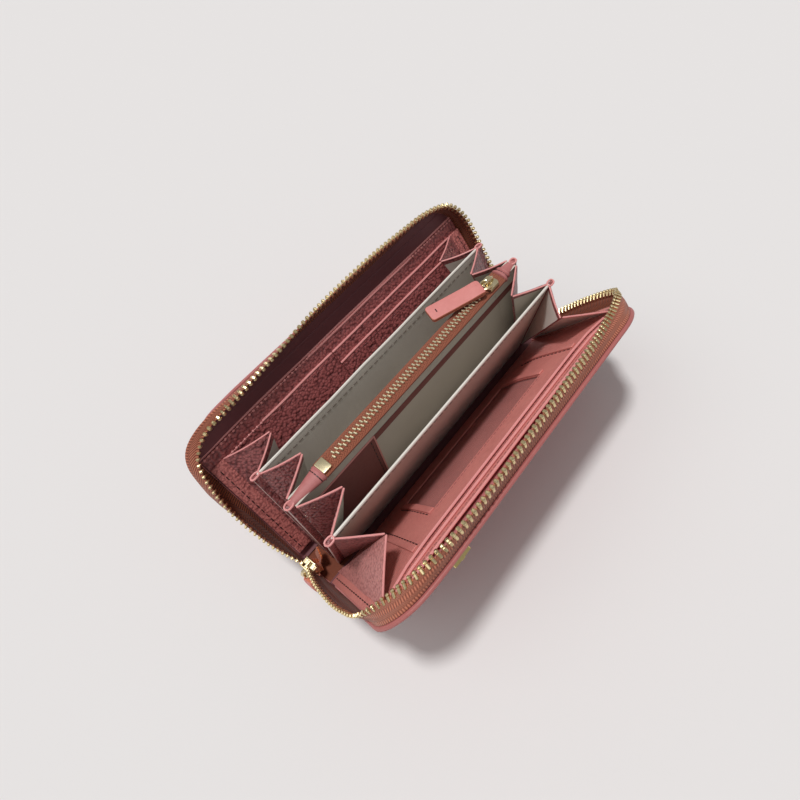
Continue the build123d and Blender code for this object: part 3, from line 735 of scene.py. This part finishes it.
def slotPanel(name, node, side, materials, seed, corner=0.0, wave=0.25, pinked=None,
              lower=0.0, lift=0.0, thin=0.0):
    place, body = (leftLeaf, "left_cover") if side > 0 else (rightLeaf, "right_cover")
    low, high = span(node, place)
    high.y -= lower
    low.z += thin
    bm = slab(low, high, corner, 0.18, cards["step"])
    settle(bm, wave, 0.09, seed)
    paintFaces(bm, lambda at, out: 1 if at.y > high.y - 0.3 and out.y > 0.3 else 0)
    inset = corner * 0.95
    ends = [low.x + inset + 0.3, high.x - inset - 0.3]
    if pinked:
        for first, last in ((ends[0], pinked[0]), (pinked[1], ends[1])):
            if last - first > 3:
                seamRow(bm, (first, high.y), (last, high.y), high.z - 0.1, pinking, 1)
        ends = [max(ends[0], pinked[0]), min(ends[1], pinked[1])]
    path = [Vector((ends[0] + (ends[1] - ends[0]) * i / 12, high.y, high.z - 0.25)) for i in range(13)]
    for point in path:
        point.y += 0.35 * noise.noise(Vector((point.x * 0.05, seed, 0)))
    piping(bm, path, cards["roll"], 1)
    seamRow(bm, (ends[0], high.y - 2.2), (ends[1], high.y - 2.2), high.z + wave * 0.3, fineStitches, 2)
    puffed(bm, lift)
    for v in bm.verts:
        v.co.z += curled(side, v.co.x, v.co.y)
    finishPiece(name, bm, body, materials + (seamThread,), (node,), place)


leather = (slotLeather, edgePaint)
slotPanel("leftSlipPocket", "left_slip_pocket", 1, leather, 1.3)
slotPanel("leftCardBack", "left_card_back", 1, leather, 2.3, pinked=(-24, 58), lower=3.0)
slotPanel("leftCardNear", "left_card_near", 1, leather, 3.3, pinked=(-62, 0), lower=2.4)
slotPanel("leftCardFarUpper", "left_card_far_1", 1, leather, 4.3, lower=2.4)
slotPanel("leftCardFarLower", "left_card_far_2", 1, leather, 5.3, lower=1.5)

for name, place, material in (("left", leftLeaf, borderLeather), ("right", rightLeaf, frameLeather)):
    node = name + "_borders"
    spots = spotsIn(node, place)
    low, high = span(node, place)
    bm = bmesh.new()
    for end in (-1, 1):
        part = [s.x for s in spots if s.x * end > 0]
        x0, x1 = min(part), max(part)
        addShape(bm, slab(Vector((x0, low.y, low.z)), Vector((x1, high.y, high.z)), 0, 0.4, 6.0))
        line = end * (abs(x0 + x1) / 2 + cards["borderSeam"])
        seamRow(bm, (line, low.y + 2), (line, high.y - 3), high.z, stitches, 1)
    finishPiece(name + "Borders", bm, name + "_cover", (material, darkThread), (node,), place)

# ---- right cover: two pockets, a frame with its window
for name, node, seed, lower, lift in (("rightPocketBack", "right_pocket_back", 6.3, 5.0, 2.2),
                                      ("rightPocketMiddle", "right_pocket_middle", 7.3, 7.5, 2.5)):
    slotPanel(name, node, -1, (frameLeather, edgePaint), seed, 10.0, 0.1, None, lower, lift, 0.2)
window = {
    "half": 43.0, "foot": 18.0, "top": 63.0, "corner": 10.0, "stripWide": 3.4, "stripHigh": 0.9, "stripTop": 77.0,
    "folds": (-64.0, -45.0, 45.0, 62.0), "lower": 8.0, "lift": 2.9, "gap": 0.4,
}
low, high = span("window_frame", rightLeaf)
high.y -= window["lower"]
low.z += window["gap"]


bm = bmesh.new()
corners = [bm.verts.new((x, y, low.z))
           for x, y in ((low.x, low.y), (high.x, low.y), (high.x, high.y), (low.x, high.y))]
bm.faces.new(corners)
roundCorners(bm, corners[2:4], window["corner"], 6)
cutAcross(bm, 0, [-window["half"], window["half"]] + [low.x + 5 * i for i in range(1, 38)])
cutAcross(bm, 1, [window["foot"], window["top"]] + [5 * i for i in range(1, 16)])
opening = [f for f in bm.faces if abs(f.calc_center_median().x) < window["half"]
           and window["foot"] < f.calc_center_median().y < window["top"]]
bmesh.ops.delete(bm, geom=opening, context="FACES")
grown = bmesh.ops.extrude_face_region(bm, geom=bm.faces[:])["geom"]
bmesh.ops.translate(bm, vec=(0, 0, high.z - low.z), verts=grownVerts(grown))
bmesh.ops.recalc_face_normals(bm, faces=bm.faces)
rims = [e for e in bm.edges if len(e.link_faces) == 2
        and e.verts[0].co.z > high.z - 0.1 and e.verts[1].co.z > high.z - 0.1
        and e.calc_face_angle(0) > 0.5]
bevelEdges(bm, rims, 0.3, 2)
paintFaces(bm, lambda at, out: 1 if at.y > high.y - 0.35 else 0)
for at in window["folds"]:  # folded strips with a stitched side
    outerFold = abs(at) > 50
    foot = high.y * 0.28 if outerFold else window["foot"]
    top = window["stripTop"] if outerFold else window["top"] + 1
    strip = slab(Vector((at - window["stripWide"] / 2, foot, high.z - 0.1)),
                 Vector((at + window["stripWide"] / 2, top, high.z + window["stripHigh"])), 0, 0.5, 8.0)
    addShape(bm, strip, None, 0)
    line = at + (1 if at < 0 else -1) * (2.3 if outerFold else -2.3)
    seamRow(bm, (line, foot + 1), (line, top - 1), high.z, stitches, 2)
seam = window["top"] + 2.0
seamRow(bm, (-window["half"], seam), (window["half"], seam), high.z, fineStitches, 3)
path = [Vector((low.x + 9.5 + (high.x - low.x - 19) * i / 12, high.y, high.z - 0.3)) for i in range(13)]
piping(bm, path, cards["roll"], 1)
puffed(bm, window["lift"])
finishPiece("windowFrame", bm, "right_cover", (frameLeather, edgePaint, darkThread, seamThread),
            ("window_frame",), rightLeaf)
low, high = span("window_pane", rightLeaf)
bm = slab(low, high, 0, 0.08, 6.0)
settle(bm, 0.25, 0.05, 9.1)
puffed(bm, window["lift"])
finishPiece("windowPane", bm, "right_cover", (film,), ("window_pane",), rightLeaf)
# a point at the back pocket's low face, and a mesh of its own for each puffed piece
flatAt = rightLeaf @ Vector((0, 50, span("right_pocket_back", rightLeaf)[0].z))
for name in ("rightPocketBack", "rightPocketMiddle", "windowFrame", "windowPane"):
    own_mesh(bpy.data.objects[name])
print("covers filled")

# ---- dividers and their pinched ends
divider = {"step": 6.0, "edge": 0.75, "seam": 4.2, "tip": 0.95, "loopLong": 4.6, "loopWide": 2.7, "pipe": 0.5}


def pinchedEnd(bm, end, x0, x1, foot, top, half):
    # leather folded round the end of a leaf, with a rolled loop on its top
    strip = slab(Vector((x0, foot, -half)), Vector((x1, top, half)), 0, half * 0.45, 0)
    cutAcross(strip, 1, [foot + (top - foot) * i / 6 for i in range(1, 6)])
    for v in strip.verts:
        v.co.z *= 1 + 0.18 * sin(v.co.y * 0.4) * (v.co.x > (x0 + x1) / 2)
    faceIndex = {f: (3 if f.calc_center_median().x > x1 - 0.25 * half else 0) for f in strip.faces}
    for face, index in faceIndex.items():
        face.material_index = index
    bmesh.ops.transform(strip, matrix=Matrix.Diagonal((end, 1, 1, 1)), verts=strip.verts)
    if end < 0:
        bmesh.ops.reverse_faces(strip, faces=strip.faces)
    addShape(bm, strip)
    middle = Vector((end * (x1 + 0.4 - divider["loopLong"] / 2), top + 0.15, 0))
    loop = loopRound(middle, Vector((1, 0, 0)), upward, divider["loopLong"], max(divider["loopWide"], half * 2.1))
    piping(bm, loop, divider["pipe"], 1, True)


for name, place, body in (("a", dividerA, "divider_a"), ("b", dividerB, "divider_b")):
    low, high = span("divider_" + name, place)
    bm = slab(low, high, 0, 0.3, divider["step"])
    for v in bm.verts:
        v.co.z += 0.7 * noise.noise(Vector((v.co.x * 0.04, v.co.y * 0.03, ord(name)))) * sin(pi * v.co.y / high.y)
    path = [Vector((low.x + (high.x - low.x) * i / 14, high.y - 0.2, 0)) for i in range(15)]
    for point in path:
        point.y += 0.4 * noise.noise(Vector((point.x * 0.04, ord(name), 0)))
    piping(bm, path, divider["edge"], 1)
    for face in (-1, 1):
        level, seam = high.z if face > 0 else low.z, high.y - divider["seam"]
        seamRow(bm, (low.x + 3, seam), (high.x - 3, seam), level, stitches, 2, up=face)
    finishPiece("divider" + name.upper(), bm, body, (greyLining, paleEdge, greyThread),
                ("divider_" + name,), place)

    ends = span("divider_" + name + "_ends", place)
    bm = bmesh.new()
    for end in (-1, 1):
        pinchedEnd(bm, end, high.x - 1.5, ends[1].x - 0.3, low.y, high.y + 0.2, divider["tip"])
    finishPiece("divider" + name.upper() + "Ends", bm, body,
                (pebbleLeather, edgePaint, seamThread, foldEdge), ("divider_" + name + "_ends",), place)
print("dividers made")


# ---- gusset: each fold panel keeps to its own body
gusset = {"thick": 0.9, "roll": 0.46, "hem": 3.0, "bulge": 0.7, "sag": 0.7}


def panelCorners(node, body):
    # foot and top on the fold line, and the inner top corner, from the panel's solid
    hinge = [j for j in frame["joints"] if j["child"] == body][0]
    origin, axis = Vector(hinge["pos_m"]), Vector(hinge["axis"])
    spots = {tuple(round(c, 6) for c in v.co) for v in nodes[node].data.vertices}
    spots = sorted((Vector(s) for s in spots), key=lambda s: ((s - origin) - axis * (s - origin).dot(axis)).length)
    onFold = sorted(spots[:4], key=lambda s: s.z)
    return [(onFold[0] + onFold[1]) / 2, (onFold[2] + onFold[3]) / 2, (spots[-1] + spots[-2]) / 2]


for end, way in (("near", -1), ("far", 1)):
    for bay in "1234":
        corners = {}
        for half in ("left", "right"):
            tag = "_".join((end, bay, half))
            corners[half] = panelCorners("gusset_" + tag, "fold_" + tag)
        meet = (corners["left"][2] + corners["right"][2]) / 2
        for half in ("left", "right"):
            tag = "_".join((end, bay, half))
            foot, top, inner = corners[half]
            inner = inner.lerp(meet, 0.8)
            top = top + (top - inner).normalized() * 0.5 * mm
            foot, top, inner = foot / mm, top / mm, inner / mm
            bm = bmesh.new()
            bm.faces.new([bm.verts.new(p) for p in (foot, top, inner)])
            rim = (inner - top).normalized()
            down = ((foot - top) - rim * (foot - top).dot(rim)).normalized()
            depth = (foot - top).dot(down)
            drops = [1.5, gusset["hem"]] + [gusset["hem"] + 5 * i for i in range(1, int(depth / 5))]
            cutAlong(bm, [top + down * drop for drop in drops], down)
            cutAlong(bm, [top.lerp(inner, i / 6) for i in range(1, 6)], rim)
            bmesh.ops.remove_doubles(bm, verts=bm.verts, dist=0.15)
            normal = (top - foot).cross(inner - foot).normalized()
            if normal.x * way < 0:
                normal = -normal
            centre = (foot + top * 1.6 + inner * 1.4) / 4
            rimLong = (inner - top).length

            def sagAt(spot):
                return gusset["sag"] * sin(pi * min(max((spot - top).dot(rim) / rimLong, 0), 1))
            for v in bm.verts:
                away = (v.co - centre).length / (top - foot).length
                drop = (v.co - top).dot(down)
                shift = down * sagAt(v.co) * max(0, 1 - drop / 12)
                swell = gusset["bulge"] * max(0, 1 - away * 2.4) + 0.35 * noise.noise(v.co * 0.09)
                v.co += normal * swell + shift
            bmesh.ops.recalc_face_normals(bm, faces=bm.faces)
            if sum((f.normal.dot(normal) for f in bm.faces)) < 0:
                bmesh.ops.reverse_faces(bm, faces=bm.faces[:])
            grown = bmesh.ops.extrude_face_region(bm, geom=bm.faces[:])["geom"]
            bmesh.ops.translate(bm, vec=normal * -gusset["thick"], verts=grownVerts(grown))
            bmesh.ops.recalc_face_normals(bm, faces=bm.faces)
            for face in bm.faces:
                drop = (face.calc_center_median() - top).dot(down)
                lined = face.normal.dot(normal) < -0.5 and drop > gusset["hem"] + 0.3
                face.material_index = 1 if lined else 0
            midway = normal * (-gusset["thick"] / 2)
            path = [top.lerp(inner, i / 8) + midway for i in range(9)]
            path = [p + down * sagAt(p) for p in path]
            piping(bm, path, gusset["roll"], 2)
            start = top + down * 2.3 + rim * 1.5 + normal * 0.1
            finish = inner + down * 2.3 - rim * 3.0 + normal * 0.1
            stitchRow(bm, start, finish, normal, fineStitches, 3)
            # the right halves of the fourth bay take the lighter copy of the gusset leather, painted light
            outside = paintedLightLeather if bay + half == "4right" else pebbleLeather
            finishPiece("gusset" + end.title() + bay + half.title(), bm, "fold_" + tag,
                        (outside, greyLining, edgePaint, seamThread),
                        ("gusset_" + tag,), room)
print("gusset made")

# ---- coin pocket and its zip
pocket = {"tipHalf": 2.1, "bandCrown": 0.5, "strap": 5.0}
for name in ("left", "right"):
    bm = bmesh.new()
    bm.from_mesh(nodes["pocket_wall_" + name].data)
    bmesh.ops.remove_doubles(bm, verts=bm.verts, dist=0.00001)
    bmesh.ops.transform(bm, matrix=room.inverted(), verts=bm.verts)
    bmesh.ops.dissolve_limit(bm, angle_limit=0.02, verts=bm.verts, edges=bm.edges)
    finishPiece("pocketWall" + name.title(), bm, "root", (greyLining,), ("pocket_wall_" + name,), room)

low, high = span("pocket_ends", room)
bm = bmesh.new()
for end in (-1, 1):
    x1 = high.x - 0.3
    pinchedEnd(bm, end, x1 - 4.6, x1, low.z, high.z, pocket["tipHalf"] - 0.6)
bmesh.ops.transform(bm, matrix=Matrix(((1, 0, 0, 0), (0, 0, 1, 0), (0, 1, 0, 0), (0, 0, 0, 1))), verts=bm.verts)
finishPiece("pocketEnds", bm, "root", (pebbleLeather, edgePaint, seamThread, foldEdge),
            ("pocket_ends",), room)

low, high = span("pocket_slip", upright)
bm = slab(low, high, 0, 0.2, 6.0)
piping(bm, [Vector((low.x + 0.5, high.y, high.z)), Vector((high.x, high.y, high.z))], 0.45, 1)
piping(bm, [Vector((high.x, y, high.z)) for y in (high.y, high.y * 0.5, low.y + 1)], 0.45, 1)
seamRow(bm, (high.x - 2.5, low.y + 2), (high.x - 2.5, high.y - 2), high.z, stitches, 2)
strap = slab(Vector((high.x + 0.3, high.y - pocket["strap"], low.z)),
             Vector((-low.x, high.y, high.z)), 0, 0.2, 8.0)
addShape(bm, strap, None, 0)
finishPiece("pocketSlip", bm, "root", (slipLeather, edgePaint, darkThread),
            ("pocket_slip",), upright)

low, high = span("coin_zip_tape", room)
bandLow = high.z - 0.6
spots = [s for s in spotsIn("coin_zip_tape", room) if s.z > bandLow - 0.5]
x0, x1 = min(s.x for s in spots), max(s.x for s in spots)
wideHalf = max(abs(s.y) for s in spots)
bm = slab(Vector((x0, -wideHalf, bandLow)), Vector((x1, wideHalf, high.z)), 0, 0.25, 0)
cutAcross(bm, 0, [x0 + 5 * i for i in range(1, int((x1 - x0) / 5) + 1)])
cutAcross(bm, 1, [wideHalf * i / 5 for i in range(-4, 5)])
for v in bm.verts:
    ripple = 0.15 * noise.noise(Vector((v.co.x * 0.1, v.co.y * 0.2, 2)))
    v.co.z -= pocket["bandCrown"] * (v.co.y / wideHalf) ** 4 + ripple
markWeave(bm, lambda at: (at.x, at.y, 0))
for side in (-1, 1):
    hemLow = Vector((x0, side * wideHalf - 0.45, bandLow - 1.2))
    hemHigh = Vector((x1, side * wideHalf + 0.1 * side + 0.35, bandLow + 0.2))
    addShape(bm, slab(hemLow, hemHigh, 0, 0.3, 0))
finishPiece("coinZipTape", bm, "root", (coinTape,), ("coin_zip_tape",), room)

cone = {"wide": 4.6, "narrow": 1.5, "flat": 0.62, "ringPipe": 0.75}
tipLow, tipHigh = span("coin_zip_ends", room)
bm = bmesh.new()
for end, wideAt in ((-1, x0), (1, x1)):
    tipAt = tipLow.x if end < 0 else tipHigh.x
    long = abs(tipAt - wideAt)
    lift = high.z - cone["wide"] * cone["flat"] * 0.55
    body = bmesh.new()
    turn = Matrix.Rotation(radians(90 * end), 4, "Y")
    bmesh.ops.create_cone(body, cap_ends=True, segments=20, radius1=cone["wide"], radius2=cone["narrow"],
                          depth=long, matrix=turn)
    bevelEdges(body, [e for e in body.edges if e.is_boundary or e.calc_face_angle(0) > 0.8], 0.5, 2)
    cutAcross(body, 0, [long * (i / 6 - 0.5) for i in range(1, 6)])
    bmesh.ops.scale(body, vec=(1, 1, cone["flat"]), verts=body.verts)
    for v in body.verts:
        v.co.z += 0.25 * noise.noise(v.co * 0.25)
    addShape(bm, body, Matrix.Translation(Vector(((wideAt + tipAt) / 2, 0, lift))), 0)
    rings = (0.9,) if end < 0 else (0.9, 4.0)
    for at in rings:
        share = at / long
        radius = cone["wide"] + (cone["narrow"] - cone["wide"]) * share
        loop = [Vector((wideAt + end * at, radius * cos(turn), lift + radius * cone["flat"] * sin(turn)))
                for turn in [2 * pi * i / 20 for i in range(20)]]
        piping(bm, loop, cone["ringPipe"] if end > 0 else 0.4, 0, True, 6)
    stitchAt = wideAt + end * (2.6 if end < 0 else 2.4)
    radius = cone["wide"] + (cone["narrow"] - cone["wide"]) * 2.6 / long
    for i in range(-3, 4):
        turn = i * 0.4
        at = Vector((stitchAt, radius * sin(turn), lift + radius * cone["flat"] * cos(turn)))
        out = Vector((0, sin(turn) * cone["flat"], cos(turn))).normalized()
        stitch = block((0.5, 1.3, 0.3), (0, 0, 0), 0.1)
        along = Vector((1, 0, 0))
        addShape(bm, stitch, turnTo(along, out.cross(along), out, at), 1)
finishPiece("coinZipEnds", bm, "root", (coneLeather, darkThread), ("coin_zip_ends",), room)

low, high = span("coin_zip_teeth", room)
bm = bmesh.new()
chain = {"pitch": 2.35, "long": 1.15, "wide": 2.5, "high": 1.2, "offset": 0.95, "slant": 12}
count = int((high.x - low.x) / chain["pitch"])
barBm = block((chain["long"], chain["wide"], chain["high"]), (0, 0, 0), 0.3, (0.85, 0.9))
barMesh = keepMesh(barBm, "barShape")
for i in range(count):
    for side in (-1, 1):
        x = low.x + (i + 0.5) * chain["pitch"] + side * chain["pitch"] / 4
        at = Vector((x, side * chain["offset"], low.z + 0.6))
        along = Matrix.Rotation(radians(chain["slant"]), 3, "Z") @ Vector((1, 0, 0))
        addTooth(bm, barMesh, at, along, upward.cross(along), upward)
addShape(bm, slab(Vector((low.x, -1.5, low.z - 0.35)), Vector((high.x, 1.5, low.z + 0.25)), 0, 0.1, 0), None, 1)
finishPiece("coinZipTeeth", bm, "root", (silverBrass, coinTape), ("coin_zip_teeth",), room, 25)

for node in ("base_tape", "outside_tab"):
    bm = bmesh.new()
    bm.from_mesh(nodes[node].data)
    bmesh.ops.remove_doubles(bm, verts=bm.verts, dist=0.00001)
    markWeave(bm, lambda at: (at.x / mm, at.y / mm, 0))
    isTape = node == "base_tape"
    finishPiece("baseTape" if isTape else "outsideTab", bm, bodyOf[node],
                (zipTape if isTape else roseLeather,), (node,))

tail = {"long": 5.5, "wide": 7.0, "thick": 0.8, "at": (-91.8, 0.5, 9.5)}
bm = bmesh.new()
for lean, shift in ((28, -1.2), (-22, 1.6)):
    leafPart = slab(Vector((-tail["wide"] / 2, -2, -tail["thick"] / 2)),
                    Vector((tail["wide"] / 2, tail["long"], tail["thick"] / 2)), 1.2, 0.25, 1.6)
    turn = Matrix.Rotation(radians(70), 4, "Z") @ Matrix.Rotation(radians(90 - lean), 4, "X")
    turn = Matrix.Translation(Vector(tail["at"]) + Vector((shift, shift, 0))) @ turn
    addShape(bm, leafPart, turn)
markWeave(bm, lambda at: (at.z, at.y, 0))
finishPiece("zipTail", bm, "root", (tailTape,), ("zip_tail",), room)


# ---- pulls: a strip folded in two round its ring
def foldedPull(name, body, node, centre, heading, out, look):
    wayAcross = out.cross(heading).normalized()
    bm = slab(Vector((look["start"], -look["wide"] / 2, -look["thick"] / 2)),
              Vector((look["end"], look["wide"] / 2, look["thick"] / 2)), look["corner"], 0.35, 0, True)
    cutAcross(bm, 0, [look["start"] + 3 * i for i in range(1, int((look["end"] - look["start"]) / 3))])
    for v in bm.verts:
        nearRing = 1 - min(max((v.co.x - look["start"]) / 7, 0), 1)
        v.co.z *= 1 + 0.35 * sin(pi * nearRing)
    paintFaces(bm, lambda at, n: 0 if abs(n.z) > 0.75 else 1)
    # a thin dark sheet between the two layers, painted shade in the gap between them, showing along the pull's
    # edges
    gap = slab(Vector((look["start"] + 1, -look["wide"] / 2 - 0.05, -0.12)),
               Vector((look["end"] + 0.05, look["wide"] / 2 + 0.05, 0.12)), look["corner"], 0.02, 0, True)
    addShape(bm, gap, None, 2)
    for at in (look["start"] + 4.5, look["end"] - 4.5):
        if look["end"] - look["start"] > 15:
            addShape(bm, block((0.55, 2.2, 0.5), (at, 0, look["thick"] / 2), 0.15), None, 2)
    turn = Matrix((heading, wayAcross, out)).transposed().to_4x4()
    finishPiece(name, bm, body, (pullLeather, pullEdge, darkThread), (node,),
                Matrix.Scale(mm, 4) @ Matrix.Translation(centre) @ turn)


swing = radians(160)
foldedPull("coinPullLeather", "coin_pull", "coin_pull_leather", Vector((59.5, 0, 82.7)),
           Vector((cos(swing), sin(swing), 0)), upward,
           {"start": 2.4, "end": 34.8, "wide": 9.5, "thick": 2.4, "corner": 1.7})
hang = Vector((-0.12, -0.5, -0.86)).normalized()
foldedPull("outerPullLeather", "outer_pull", "outer_pull_leather", Vector((-101.2, -1.0, 11.6)), hang,
           Vector((-1, 0, 0.14)).normalized(),
           {"start": 1.6, "end": 9.6, "wide": 7.6, "thick": 2.2, "corner": 1.5})

# ---- sliders
slider = {"foot": 8.0, "top": 19.5, "half": 4.2, "inner": -94.2, "outer": -98.6, "plate": 0.9,
          "bridge": ((-98.6, 17.6), (-100.6, 17.4), (-101.5, 15.8),
                     (-101.5, 12.2), (-100.6, 10.4), (-98.6, 10.2))}
bm = bmesh.new()
# x across, y up, z out along the spine
standing = Matrix(((0, 0, 1, 0), (1, 0, 0, 0), (0, 1, 0, 0), (0, 0, 0, 1)))
for at in (slider["inner"], slider["outer"]):
    plate = slab(Vector((-slider["half"], slider["foot"], at - slider["plate"] / 2)),
                 Vector((slider["half"], slider["top"], at + slider["plate"] / 2)), 1.4, 0.3, 0)
    bmesh.ops.scale(plate, vec=(0.72, 1, 1), verts=[v for v in plate.verts if v.co.y < slider["foot"] + 1])
    addShape(bm, plate, standing)
centre = (slider["inner"] + slider["outer"]) / 2
for side in (-1, 1):  # two cheeks, then the body and the wedge between its mouths
    addShape(bm, block((slider["inner"] - slider["outer"] + 0.5, 0.9, slider["top"] - slider["foot"] - 3.5),
                       (centre, side * (slider["half"] - 0.5), 12.8), 0.3))
addShape(bm, block((4.6, 7.2, 8.6), (centre, 0, slider["foot"] + 4.6), 0.5))
addShape(bm, block((4.2, 1.9, 4.4), (centre, 0, slider["top"] - 2.2), 0.5))
piping(bm, [Vector((x, 0, z)) for x, z in slider["bridge"]], 0.75, 0, False, 8)
finishPiece("outerSlider", bm, "outer_slider", (sliderBrass,), ("outer_slider",), room, 35)

low, high = span("coin_slider", room)
bm = bmesh.new()
middle = (low.x + high.x) / 2
plateTop = 81.7
addShape(bm, slab(Vector((low.x, -3.9, plateTop - 1.0)), Vector((high.x, 3.9, plateTop)), 1.8, 0.35, 0, True))
for side in (-1, 1):
    addShape(bm, block((6.6, 0.9, 2.0), (middle, side * 3.5, plateTop - 1.4), 0.3))
bridge = ((high.x - 1.0, 81.6), (high.x - 1.4, 83.2), (middle + 0.6, 84.1),
          (low.x + 1.6, 83.6), (low.x + 1.0, 81.6))
piping(bm, [Vector((x, 0, z)) for x, z in bridge], 0.8, 0, False, 8)
finishPiece("coinSlider", bm, "coin_slider", (sliderBrass,), ("coin_slider",), room, 35)

low, high = span("coin_zip_plate", room)
bm = slab(Vector((low.x, low.y, high.z - 0.9)), Vector((high.x, high.y, high.z + 0.1)), 0.6, 0.25, 0, True)
finishPiece("coinZipPlate", bm, "root", (sliderBrass,), ("coin_zip_plate",), room, 35)
for node, material in (("coin_pull_ring", sliderBrass), ("outer_pull_ring", sliderBrass), ("zip_stop", brass),
                       ("brass_bar", brightBrass)):
    nodes[node].data.materials.clear()
    nodes[node].data.materials.append(material)
print("coin pocket made")

# ---- floor, light and camera
setting = {
    "floor": 3.0, "sky": 0.3, "keySun": 1.95, "keySoft": 8.0, "keyFrom": (-0.05, 0.12, 0.99),
    "softSun": 0.45, "softSoft": 50.0, "softFrom": (-0.5, 0.28, 0.82),
}


def plainFloor(place):
    return {"Base Color": tint(227, 224, 223), "Roughness": 0.9}


bm = bmesh.new()
bmesh.ops.create_grid(bm, x_segments=2, y_segments=2, size=setting["floor"])
mesh = keepMesh(bm, "floor")
floor = bpy.data.objects.new("floor", mesh)
scene.collection.objects.link(floor)
mesh.materials.append(finishOf("floorPaint", plainFloor, gloss=0.0))

world = bpy.data.worlds.new("studio")
scene.world = world
world.use_nodes = True
world.node_tree.nodes["Background"].inputs[0].default_value = (1, 1, 1, 1)
world.node_tree.nodes["Background"].inputs[1].default_value = setting["sky"]
for name in ("key", "soft"):
    sun = bpy.data.lights.new(name + "Sun", "SUN")
    sun.energy = setting[name + "Sun"]
    sun.angle = radians(setting[name + "Soft"])
    sunObject = bpy.data.objects.new(name + "Sun", sun)
    scene.collection.objects.link(sunObject)
    sunObject.rotation_euler = Vector(setting[name + "From"]).to_track_quat("Z", "Y").to_euler()

# the camera's place, axes, lens and shift are the result of a fit made in a separate script
view = {
    "at": (-0.09517, -0.12501, 0.32255),
    "right": (0.61566, -0.78311, -0.08775), "ahead": (0.40558, 0.41038, -0.81676),
    "lens": 26.70, "shift": (-0.0632, -0.0815),
}
ahead, right = Vector(view["ahead"]).normalized(), Vector(view["right"])
right = (right - ahead * right.dot(ahead)).normalized()
above = right.cross(ahead)
camera = bpy.data.cameras.new("camera")
camera.lens, camera.sensor_width = view["lens"], 36
camera.shift_x, camera.shift_y = view["shift"]
camera.clip_start = 0.01
cameraObject = bpy.data.objects.new("camera", camera)
cameraObject.matrix_world = turnTo(right, above, -ahead, view["at"])
scene.collection.objects.link(cameraObject)
scene.camera = cameraObject
scene.view_settings.view_transform = "Standard"
